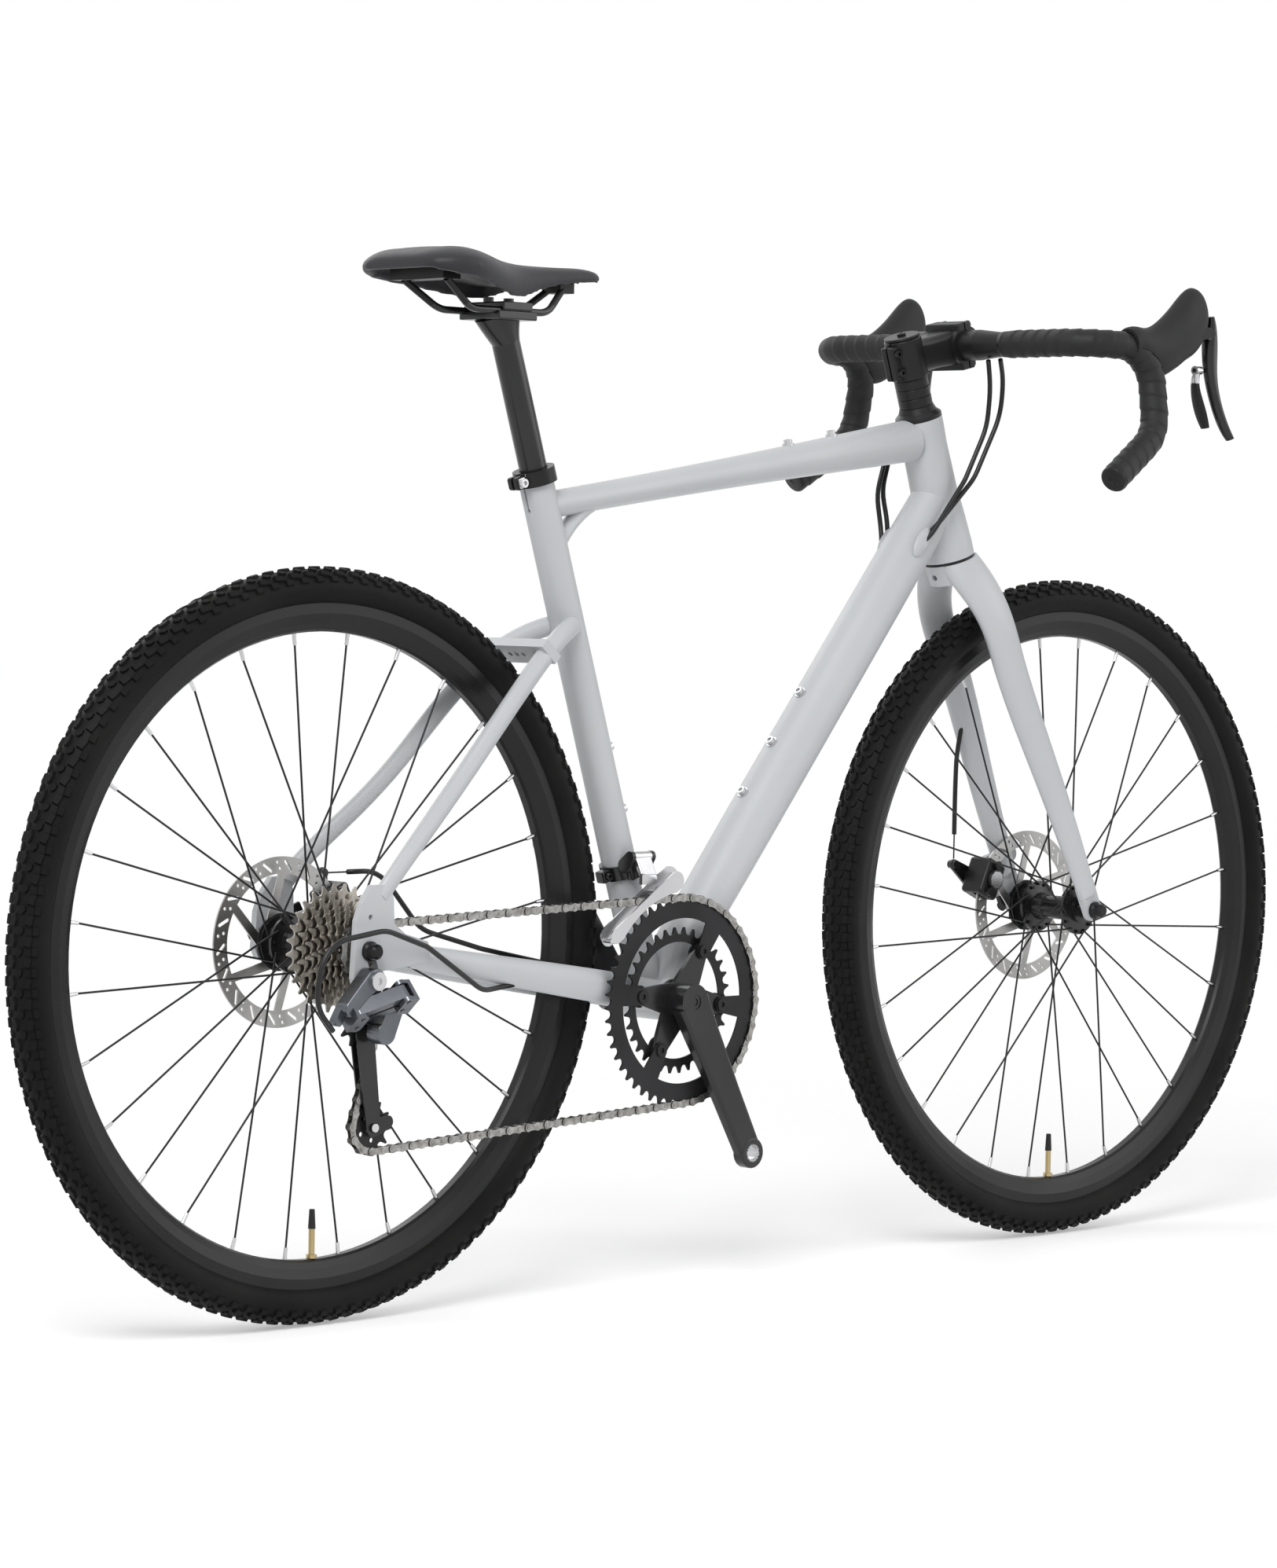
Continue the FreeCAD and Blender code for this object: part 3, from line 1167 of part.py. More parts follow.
def sprocket(centre, teeth, phase, y, thick, bore):
    """A toothed plate with roller seats."""
    pitch = pitch_radius(teeth)
    tip = pitch + 3.1
    root = ROLLER + 0.12
    y0 = y - thick / 2
    edges = []
    outline = []
    for i in range(teeth):
        a = math.radians(phase + i * 360.0 / teeth)
        er, et = V(math.cos(a), 0, math.sin(a)), V(-math.sin(a), 0, math.cos(a))
        c = V(centre[0], y0, centre[1]) + er * pitch
        s60, c60 = math.sin(math.radians(62)), math.cos(math.radians(62))
        outline.append((c + (et * -s60 - er * c60) * root, c - er * root, c + (et * s60 - er * c60) * root))
        h = a + math.pi / teeth
        er, et = V(math.cos(h), 0, math.sin(h)), V(-math.sin(h), 0, math.cos(h))
        base = V(centre[0], y0, centre[1]) + er * tip
        outline.append((base - et * 0.9, None, base + et * 0.9))
    for i, (p, m, q) in enumerate(outline):
        edges.append((Part.LineSegment(p, q) if m is None else Part.Arc(p, m, q)).toShape())
        edges.append(Part.LineSegment(q, outline[(i + 1) % len(outline)][0]).toShape())
    body = solid(Part.Face(Part.Wire(edges)).extrude(V(0, thick, 0)))
    return body.cut(across(V(centre[0], 0, centre[1]), y0 - 1, y0 + thick + 1, bore))


def chain_links(pins):
    """Inner and outer links placed on the pins."""
    tall = 4.15

    def side_plate(y0, y1, r):
        waist = 0.72 * r
        a, b = V(0, y0, r), V(PITCH, y0, r)
        c, d = V(PITCH, y0, -r), V(0, y0, -r)
        middle = V(PITCH / 2, y0, waist)
        edges = [Part.Arc(a, middle, b).toShape(), Part.Arc(b, V(PITCH + r, y0, 0), c).toShape(),
                 Part.Arc(c, V(PITCH / 2, y0, -waist), d).toShape(), Part.Arc(d, V(-r, y0, 0), a).toShape()]
        return solid(Part.Face(Part.Wire(edges)).extrude(V(0, y1 - y0, 0)))
    ends = (V(0, 0, 0), V(PITCH, 0, 0))
    inner = fuse(side_plate(1.2, 2.2, tall), side_plate(-2.2, -1.2, tall), *[across(e, -1.3, 1.3, ROLLER) for e in ends])
    for e in ends:
        inner = inner.cut(across(e, -3, 3, 1.95))
    outer = fuse(side_plate(2.35, 3.25, tall - 0.15), side_plate(-3.25, -2.35, tall - 0.15),
                 *[across(e, -3.5, 3.5, 1.8) for e in ends])
    made = []
    count = len(pins)
    for i in range(count):
        p, q = V(*pins[i][:3]), V(*pins[(i + 1) % count][:3])
        along = unit(q - p)
        wide = unit(SIDE - along * SIDE.dot(along))
        made.append(framed(inner if i % 2 == 0 else outer, p, along, wide, along.cross(wide)))
    return made


def spider_angles():
    return [CRANK_ANGLE + a for a in (57.0, 123.0, -57.0, -123.0)]


def chainrings(pins):
    """Both rings, each with four tabs, and the ring bolts."""
    centre = (BB.x, BB.z)
    phase = tooth_phase(pins, 0, centre)
    small_y = RING_LINE - 7.0
    large = sprocket(centre, RING_TEETH, phase, -RING_LINE, 2.0, pitch_radius(RING_TEETH) - 20.0)
    small = sprocket(centre, SMALL_RING_TEETH, 4.0, -small_y, 2.0, pitch_radius(SMALL_RING_TEETH) - 11.5)
    screws = []
    for angle in spider_angles():
        spot = polar(BB, BOLT_CIRCLE, angle, 0)
        for body_y, reach in ((-RING_LINE, pitch_radius(RING_TEETH) - 18.5),
                              (-small_y, pitch_radius(SMALL_RING_TEETH) - 16.5)):
            a = V(spot.x, body_y - 1, spot.z)
            b = polar(BB, reach, angle, body_y - 1)
            tab = capsule(a, b, 8.0, 11.0, V(0, 2, 0))
            if body_y == -RING_LINE:
                large = large.fuse(tab)
            else:
                small = small.fuse(tab)
        hole = across(spot, -RING_LINE - 5, -small_y + 5, 4.6)
        large, small = large.cut(hole), small.cut(hole)
        shank = across(spot, -RING_LINE - 1.05, -small_y + 1.05, 4.5)
        head = across(spot, -RING_LINE - 1.05, -RING_LINE - 2.6, 6.4)
        nut = across(spot, -small_y + 1.05, -small_y + 2.4, 6.4)
        socket = across(spot, -RING_LINE - 1.2, -RING_LINE - 4, 2.6)
        screws.append(fuse(shank, head, nut).cut(socket))
    return [large.removeSplitter(), small.removeSplitter()] + screws


def crank_arm(side, angle, y_hub, y_end):
    """A tapered arm from the hub to the pedal boss, without the boss hole."""
    a = math.radians(angle)
    way = V(math.cos(a), 0, math.sin(a))
    over = way.cross(SIDE)
    wires = []
    for t, w, tall, y in ((0.0, 20.5, 8.2, y_hub), (0.2, 18.5, 8.0, y_hub + side * 1.0),
                          (0.6, 15.6, 7.0, y_hub + 0.6 * (y_end - y_hub)), (1.0, 14.0, 6.8, y_end)):
        place = V(BB.x, 0, BB.z) + way * (CRANK_LENGTH * t) + SIDE * y
        wires.append(panel(place, way, over, w, tall, 4.0))
    end = polar(BB, CRANK_LENGTH, angle, 0)
    boss = across(end, y_end - 6.8, y_end + 6.8, 15.2)
    boss = soften(boss, 2.0)
    return fuse(loft(wires, True), boss)


def pedal_insert(end, y):
    return ring_across(end, y - 6.7, y + 6.7, 9.4, 7.14)


def crank_right():
    """Arm, four-arm spider and the spindle, with the threaded pedal insert."""
    y_hub, y_end = -(RING_LINE + 11.0), -(RING_LINE + 21.0)
    arm = crank_arm(-1, CRANK_ANGLE, y_hub, y_end)
    boss = across(BB, -(SHELL_WIDTH / 2 + 5.2), y_hub - 8, 17.5)
    spindle = across(BB, y_hub, SHELL_WIDTH / 2 + 20, 8.2)
    body = fuse(arm, boss, spindle)
    y0, y1 = -(RING_LINE - 1.2), -(RING_LINE - 5.8)
    arms = []
    for angle in spider_angles():
        spot = polar(BB, BOLT_CIRCLE, angle, y0)
        arms.append(capsule(V(BB.x, y0, BB.z), spot, 19.0, 8.0, V(0, y1 - y0, 0)))
    body = fuse(body, *arms)
    holes = [across(polar(BB, BOLT_CIRCLE, a, 0), -90, 0, 4.6) for a in spider_angles()]
    end = polar(BB, CRANK_LENGTH, CRANK_ANGLE, 0)
    holes.append(across(end, -120, 0, 9.45))
    holes.append(across(BB, y_hub - 6, y_hub - 20, 7.5))
    body = body.cut(Part.makeCompound(holes))
    cap = across(BB, y_hub - 5.9, y_hub - 7.4, 7.4).cut(across(BB, y_hub - 6.5, y_hub - 20, 4.0))
    return [body, cap, pedal_insert(end, y_end)]


def crank_left():
    y_hub, y_end = SHELL_WIDTH / 2 + 15.0, SHELL_WIDTH / 2 + 34.0
    arm = crank_arm(1, CRANK_ANGLE + 180.0, y_hub, y_end)
    boss = across(BB, SHELL_WIDTH / 2 + 5.2, y_hub + 8, 17.0)
    end = polar(BB, CRANK_LENGTH, CRANK_ANGLE + 180.0, 0)
    holes = Part.makeCompound([across(BB, 0, SHELL_WIDTH / 2 + 20, 8.2 + FIT), across(end, 0, 120, 9.45)])
    body = fuse(arm, boss).cut(holes)
    cap = across(BB, y_hub + 8.05, y_hub + 9.6, 7.6).cut(across(BB, y_hub + 9.0, y_hub + 12, 4.0))
    return [body, cap, pedal_insert(end, y_end)]


def bottom_bracket():
    made = []
    half = SHELL_WIDTH / 2
    for side in (-1, 1):
        flange = across(BB, side * (half + FIT), side * (half + 3.2), SHELL_RADIUS - 0.6)
        inside = across(BB, side * (half - 22), side * (half + 1), SHELL_RADIUS - 4.0)
        made.append(fuse(flange, inside).cut(across(BB, -100, 100, 8.2 + GAP)))
    sleeve = ring_across(BB, -half + 22.1, half - 22.1, SHELL_RADIUS - 4.2, SHELL_RADIUS - 6.0)
    return made + [sleeve]


def cassette(pins):
    """Eight cogs on the freehub, with the lockring."""
    centre = (REAR.x, REAR.z)
    phase = tooth_phase(pins, 3, centre)
    made = []
    last = -COG_LINE + COG_PITCH * (len(COGS) - 1)
    core = ring_across(REAR, last + 2.4, -COG_LINE - 2.3, 16.9, 10.5 + 2 * GAP)
    for k, teeth in enumerate(COGS):
        y = -COG_LINE + COG_PITCH * k
        cog = sprocket(centre, teeth, phase + 7.0 * k, y, 1.8, 17.0)
        if teeth > 16:
            r = (pitch_radius(teeth) + 17.0) / 2 + 0.5
            dots = [across(polar(REAR, r, phase + 7.0 * k + 36 * j, 0), y - 2, y + 2, 2.4) for j in range(10)]
            cog = cog.cut(Part.makeCompound(dots))
        made.append(cog)
        if k:
            made.append(ring_across(REAR, y - COG_PITCH + 0.95, y - 0.95, 20.0 if k > 1 else 18.4, 17.0))
    lock = ring_across(REAR, -COG_LINE - 0.95, -COG_LINE - 3.4, 18.2, 16.95)
    return [core, lock] + made


# Rear derailleur

SLOPE = math.radians(SLANT)
PIN_AXIS = V(0, math.sin(SLOPE), math.cos(SLOPE))
PIN_SIDE = V(0, math.cos(SLOPE), -math.sin(SLOPE))
FORE = V(1, 0, 0)
KNUCKLE = REAR + V(-24, -(HUB_REAR / 2 + 16), -56)
LINK_REACH = 6.0
REST = math.radians(LINK_REST)
FAR_U = LINK_LENGTH * math.cos(REST)
FAR_V = -LINK_LENGTH * math.sin(REST)


def parallel(u, v, w):
    """A place in the frame of the slanted parallelogram."""
    return KNUCKLE + FORE * u + PIN_SIDE * v + PIN_AXIS * w


def knuckle_lugs(u, v, back):
    """Two lugs with the pins between them, joined by a web behind."""
    shapes = []
    near, far = sorted((u + back * 5.2, u + back * 9.5))
    low, high = sorted((u, u + back * 6))
    reach = LINK_REACH + 5
    for w in (7.4, -11.4):
        shapes.append(capsule(parallel(u, v - LINK_REACH, w), parallel(u, v + LINK_REACH, w), 5.6, 5.6,
                              PIN_AXIS * 4.0))
        shapes.append(cuboid(KNUCKLE, FORE, PIN_SIDE, PIN_AXIS, low, high, v - reach, v + reach, w, w + 4.0))
    shapes.append(cuboid(KNUCKLE, FORE, PIN_SIDE, PIN_AXIS, near, far, v - reach, v + reach, -11.4, 11.4))
    return shapes


def link_pins(u, v):
    """The two pins of one knuckle."""
    places = [v - LINK_REACH, v + LINK_REACH]
    return [rod(parallel(u, p, -12.2), parallel(u, p, 12.2), 2.2) for p in places]


def link_room(u, v, way):
    """The space both links sweep about the pins of one knuckle."""
    tools = []
    for k in range(13):
        a = REST * (k - 6) / 6.0
        du, dv = way * LINK_LENGTH * math.cos(a), way * LINK_LENGTH * math.sin(a)
        for p in (v - LINK_REACH, v + LINK_REACH):
            tools.append(capsule(parallel(u, p, -7.35), parallel(u + du, p + dv, -7.35), 4.6, 4.6, PIN_AXIS * 14.7))
    return tools


def derailleur_link(v):
    body = capsule(parallel(0, v, -7), parallel(FAR_U, v + FAR_V, -7), 4.0, 4.0, PIN_AXIS * 14)
    for u, far in ((0, v), (FAR_U, v + FAR_V)):
        body = body.cut(rod(parallel(u, far, -20), parallel(u, far, 20), 2.2 + GAP))
    return body


def derailleur_knuckle():
    """The upper knuckle on the hanger bolt."""
    y0 = -(HUB_REAR / 2 + DROPOUT + 0.2)
    a = V(HANGER.x, y0, HANGER.z)
    b = V(KNUCKLE.x - 9, y0, KNUCKLE.z + 6)
    arm = capsule(a, b, 11.5, 8.0, V(0, -17, 0))
    arm = soften(arm, 2.0)
    body = fuse(arm, *knuckle_lugs(0, 0, -1))
    for tool in link_room(0, 0, 1):
        body = body.cut(tool)
    screw = across(HANGER, y0 - 19.5, y0 + DROPOUT + 0.1, 4.9)
    head = across(HANGER, y0 - 17, y0 - 20.5, 8.5)
    stop = capsule(b - V(2, 0, 0), b + V(-10, 0, -12), 5.0, 4.2, V(0, -9, 0))
    body = fuse(body, screw, head, stop, *link_pins(0, 0)).cut(across(HANGER, y0 - 18.5, y0 - 30, 3.2))
    return max(body.Solids, key=lambda s: s.Volume)


def lower_knuckle():
    """The knuckle at the far end of the links, with the cage pivot barrel."""
    y0, y1 = -COG_LINE - 12.5, -COG_LINE - 30.0
    barrel = across(CAGE_PIVOT, y0, y1, 11.0)
    barrel = soften(barrel, 1.5)
    tip = parallel(FAR_U + 7, FAR_V, 0)
    arm = capsule(V(CAGE_PIVOT.x, y0, CAGE_PIVOT.z), V(tip.x, y0, tip.z - 2), 10.0, 8.5, V(0, y1 - y0, 0))
    body = fuse(barrel, arm, *knuckle_lugs(FAR_U, FAR_V, 1))
    for tool in link_room(FAR_U, FAR_V, -1):
        body = body.cut(tool)
    body = fuse(body, *link_pins(FAR_U, FAR_V))
    body = body.cut(across(CAGE_PIVOT, y0 + 1, y1 + 3, 4.0 + GAP))
    return max(body.Solids, key=lambda s: s.Volume)


def derailleur_cage(swing):
    """Two plates and the pulley bolts, hung on the pivot."""
    guide, tension = cage_places(swing)
    made = []
    for y0, y1, r in ((-COG_LINE - 6.2, -COG_LINE - 4.5, 1.0), (-COG_LINE + 4.5, -COG_LINE + 6.0, 0.8)):
        g, t = V(guide[0], y0, guide[1]), V(tension[0], y0, tension[1])
        c = V(CAGE_PIVOT.x, y0, CAGE_PIVOT.z)
        depth = V(0, y1 - y0, 0)
        made.append(capsule(g, t, 11.0 * r, 8.5 * r, depth))
        if r == 1.0:
            made.append(capsule(c, g, 12.0, 10.0, depth))
            lean = unit(t - g)
            side = V(lean.z, 0, -lean.x)
            made.append(capsule(t, t - lean * 2 - side * 18, 8.5, 6.0, depth))
    pivot = across(CAGE_PIVOT, -COG_LINE - 6.0, -COG_LINE - 12.1, 9.0)
    pin = across(CAGE_PIVOT, -COG_LINE - 6.0, -COG_LINE - 26.0, 4.0)
    bolts = [across(V(p[0], 0, p[1]), -COG_LINE - 7.6, -COG_LINE + 7.0, 2.5) for p in (guide, tension)]
    heads = [across(V(p[0], 0, p[1]), -COG_LINE - 6.1, -COG_LINE - 8.6, 4.2) for p in (guide, tension)]
    return fuse(*(made + [pivot, pin] + bolts + heads))


def pulley(centre, phase):
    body = sprocket(centre, PULLEY_TEETH, phase, -COG_LINE, 1.9, 2.5 + GAP)
    hubring = ring_across(V(centre[0], 0, centre[1]), -COG_LINE - 3.9, -COG_LINE + 3.9, 7.0, 2.5 + GAP)
    body = fuse(body, hubring)
    dots = [across(polar(V(centre[0], 0, centre[1]), 12.2, phase + 72 * k, 0), -COG_LINE - 3, -COG_LINE + 3, 2.3)
            for k in range(5)]
    return body.cut(Part.makeCompound(dots))


# Front derailleur

SHIFT_PIVOT = seat(2.0, -28.0, 148.0)


def front_derailleur_body():
    """Clamp band round the seat tube with the arm that carries the cage pivot."""
    r = SEAT_TUBE_RADIUS + FIT
    band = ring(seat(0, 0, 128), seat(0, 0, 142), r + 3.0, r)
    lug = cuboid(BB, SEAT_FWD, SIDE, SEAT_UP, -r - 12, -r + 2, -6, 6, 129, 141)
    arm = cuboid(BB, SEAT_FWD, SIDE, SEAT_UP, -9, 13, -r - 8, -r + 3, 126, 146)
    arm = soften(arm, 3.0)
    body = fuse(band, soften(lug, 2.0), arm).cut(rod(seat(0, 0, 100), seat(0, 0, 170), r))
    ears = []
    for x in (-13.0, 14.0):
        a = SHIFT_PIVOT + FORE * x
        ears.append(capsule(V(a.x, -r - 3, a.z - 9), a, 7.5, 5.5, FORE * 4.0))
    room = rod(SHIFT_PIVOT - FORE * 8.95, SHIFT_PIVOT + FORE * 13.95, 6.4)
    body = fuse(body, *ears).cut(room)
    body = fuse(body, rod(SHIFT_PIVOT - FORE * 13, SHIFT_PIVOT + FORE * 18, 2.4))
    screw = bolt(seat(-r - 6, -6.05, 135), -SIDE, 3.6, 3.5, 2.0, 0.5)
    return [body.cut(rod(seat(0, 0, 100), seat(0, 0, 170), r)), screw]


def front_derailleur_cage():
    """Inner and outer plates over the chain, on an arm from the pivot."""
    reach = pitch_radius(RING_TEETH)
    high = BB + V(-16, 0, reach + 17.0)
    tail = BB + V(-97, 0, 0.66 * reach)
    plates = []
    for y0, y1 in ((-RING_LINE - 6.6, -RING_LINE - 5.4), (-RING_LINE + 4.6, -RING_LINE + 5.8)):
        wide, slim, rise = (9.5, 7.0, 7.1) if y0 < -RING_LINE else (14.0, 10.0, 5.2)
        body = capsule(V(high.x, y0, high.z), V(tail.x, y0, tail.z), wide, slim, V(0, y1 - y0, 0))
        plates.append(body.cut(across(BB, -200, 200, reach + rise)))
    top = capsule(V(high.x + 4, -RING_LINE - 6.6, high.z + 7), V(high.x - 24, -RING_LINE - 6.6, high.z - 9.5), 1.2, 1.2,
                  V(0, 12.4, 0))
    end = across(V(tail.x - 6, 0, tail.z - 4), -RING_LINE - 6.6, -RING_LINE + 5.8, 2.2)
    barrel = rod(SHIFT_PIVOT - FORE * 8.6, SHIFT_PIVOT + FORE * 13.6, 5.2)
    low = V(SHIFT_PIVOT.x - 8, -RING_LINE + 5.2, high.z + 4)
    arm = loft([panel(SHIFT_PIVOT + FORE * 2.5, low - SHIFT_PIVOT, FORE, 10.5, 4.0, 1.5),
                panel(V(low.x + 8, low.y, low.z), low - SHIFT_PIVOT, FORE, 10.0, 2.6, 1.5)])
    knot = cuboid(V(low.x + 8, 0, low.z), FORE, SIDE, UP, -10, 10, -RING_LINE + 3.4, -RING_LINE + 7.5, -7, 3)
    body = fuse(*(plates + [top, end, barrel, arm, knot]))
    body = body.cut(rod(SHIFT_PIVOT - FORE * 20, SHIFT_PIVOT + FORE * 30, 2.4 + GAP))
    return max(body.Solids, key=lambda s: s.Volume)


# Brakes

def caliper(centre, axle, rotor_y):
    """A cable caliper over the rotor, with its two pads; the arm pivot stands on the outer side."""
    out = unit(centre - axle)
    along = SIDE.cross(out)
    y0, y1 = rotor_y - 13.0, rotor_y + 17.0
    body = cuboid(centre, along, SIDE, out, -20, 20, y0, y1, -13, 15)
    body = soften(body, 4.0)
    pot = rod(V(centre.x, y0 - 4, centre.z), V(centre.x, y0 + 2, centre.z), 11.0)
    pot = soften(pot, 1.5)
    cup = rod(V(centre.x, y1 - 2, centre.z), V(centre.x, y1 + 3, centre.z), 12.0)
    body = fuse(body, pot, cup)
    gap = across(axle, rotor_y - 2.9, rotor_y + 2.9, ROTOR_RADIUS + 5)
    body = body.cut(gap)
    body = body.cut(across(V(centre.x, 0, centre.z), y1 - 1, y1 + 30, 4.0 + GAP))
    stub = across(V(centre.x, 0, centre.z), y1 - 1.2, y1 + 8.6, 3.9)
    pads = [across(centre, rotor_y + s * 1.3, rotor_y + s * 2.85, 9.5) for s in (-1, 1)]
    body = fuse(body, stub)
    for shift in (-15.0, 15.0):
        spot = centre + along * shift + out * 3
        body = fuse(body, rod(V(spot.x, y0, spot.z), V(spot.x, y0 - 3.5, spot.z), 4.6))
    return [body] + pads


def brake_arm(centre, rotor_y, way):
    """The lever on the outer side of a caliper that the cable pulls."""
    y = rotor_y + 17.0 + 3.4
    a = V(centre.x, y, centre.z)
    b = a + unit(way) * 30
    arm = capsule(a, b, 10.5, 5.5, V(0, 4.2, 0))
    pinch = rod(b - V(0, 2.2, 0), b + V(0, 7.4, 0), 4.4)
    return fuse(soften(arm, 1.0), pinch).cut(rod(a - SIDE * 9, a + SIDE * 20, 3.9 + GAP))


FRONT_ROTOR_Y = HUB_FRONT / 2 - 10.0
REAR_ROTOR_Y = HUB_REAR / 2 - 15.5
ARM_FRONT = V(-0.86, 0, 0.5)
ARM_REAR = V(0.1, 0, 1)


def rear_caliper_mount(stays):
    """The bracket that stands on the left chainstay under the rear caliper."""
    y = REAR_ROTOR_Y
    x, z = CALIPER_REAR.x, CALIPER_REAR.z
    foot = plate([(x - 20, REAR.z), (x + 30, REAR.z - 6), (x + 22, z - 12), (x - 10, z - 14)], y + 9, y + 16)
    return foot.cut(stays[1])


# Cables

def control_loops():
    """The four housings that leave the bar beside the stem and enter the down tube."""
    port = BB + (steer(0, 0, HEAD_LOW + 0.42 * HEAD_TUBE) - BB) * 0.895
    runs = {
        (-1, 0): [(8, 62, -15), (27, 50, -36), (30, 44, -72), (-2, 38, -138)],
        (-1, 1): [(-4, 56, -16.6), (14, 44, -44), (14, 40, -84), (-14, 36, -140)],
        (1, 0): [(4, 62, -16.2), (4, 52, -44), (-34, 44, -88), (-60, 38, -152)],
        (1, 1): [(-4, 56, -16.6), (-10, 46, -50), (-46, 40, -96), (-70, 36, -156)],
    }
    made = []
    for (side, k), marks in runs.items():
        points = [BAR + V(x, side * y, z) for x, y, z in marks]
        ahead = 16 if side < 0 else 2
        points.append(port + V(ahead - 9 * k, side * 30, 28 - 10 * k))
        points.append(port + V(-8 - 8 * k, side * 20, 2 - 10 * k))
        made.append(pipe(points, 60, CABLE))
    return made


def shift_housing():
    """From the shell along the drive-side stay, round behind the dropout to the rear derailleur."""
    side = -(HUB_REAR / 2 + DROPOUT)
    end = V(KNUCKLE.x - 23, side - 5, KNUCKLE.z - 14)
    points = [BB + V(-64, -34, -14), REAR + V(220, -47, -40), REAR + V(150, side + DROPOUT + 2, -44),
              REAR + V(64, side - 8, 2), REAR + V(6, side - 16, 20), REAR + V(-66, side - 14, 10),
              REAR + V(-74, side - 12, -46), end]
    return pipe(points, 42, CABLE)


def pinch_top(centre, rotor_y, way):
    """Middle of the pinch bolt of a brake arm."""
    return V(centre.x, rotor_y + 22.5, centre.z) + unit(way) * 30


def rear_brake_housing():
    """Along the left stay to the rear caliper, with the bare wire to its arm."""
    pinch = pinch_top(CALIPER_REAR, REAR_ROTOR_Y, ARM_REAR)
    stop = pinch + V(32, 0, 0)
    inner = HUB_REAR / 2
    points = [BB + V(-60, 34, 26), REAR + V(250, 46, -16), REAR + V(186, inner - 4, 4), stop + V(40, 0, 0), stop]
    return fuse(pipe(points, 40, CABLE), rod(stop + V(1, 0, 0), pinch + V(5.5 + GAP, 0, 0), 0.8))


def front_brake_cable():
    """Housing from the inside of the left blade down to the caliper, with the bare wire to its arm."""
    pinch = pinch_top(CALIPER_FRONT, FRONT_ROTOR_Y, ARM_FRONT)
    stop = pinch + V(0, 0, 32)
    start = steer(FORK_OFFSET * 0.44 - 8, 38, -0.44 * FORK_LENGTH)
    points = [start, start - STEER * 36 - AHEAD * 18 + SIDE * 4, stop + V(0, 0, 48), stop]
    return fuse(pipe(points, 60, CABLE), rod(stop + V(0, 0, 1), pinch + V(0, 0, 5.5 + GAP), 0.8))


def cut_all(shape, tools):
    for tool in tools:
        if shape.BoundBox.intersect(tool.BoundBox):
            shape = shape.cut(tool)
    return max(shape.Solids, key=lambda s: s.Volume)


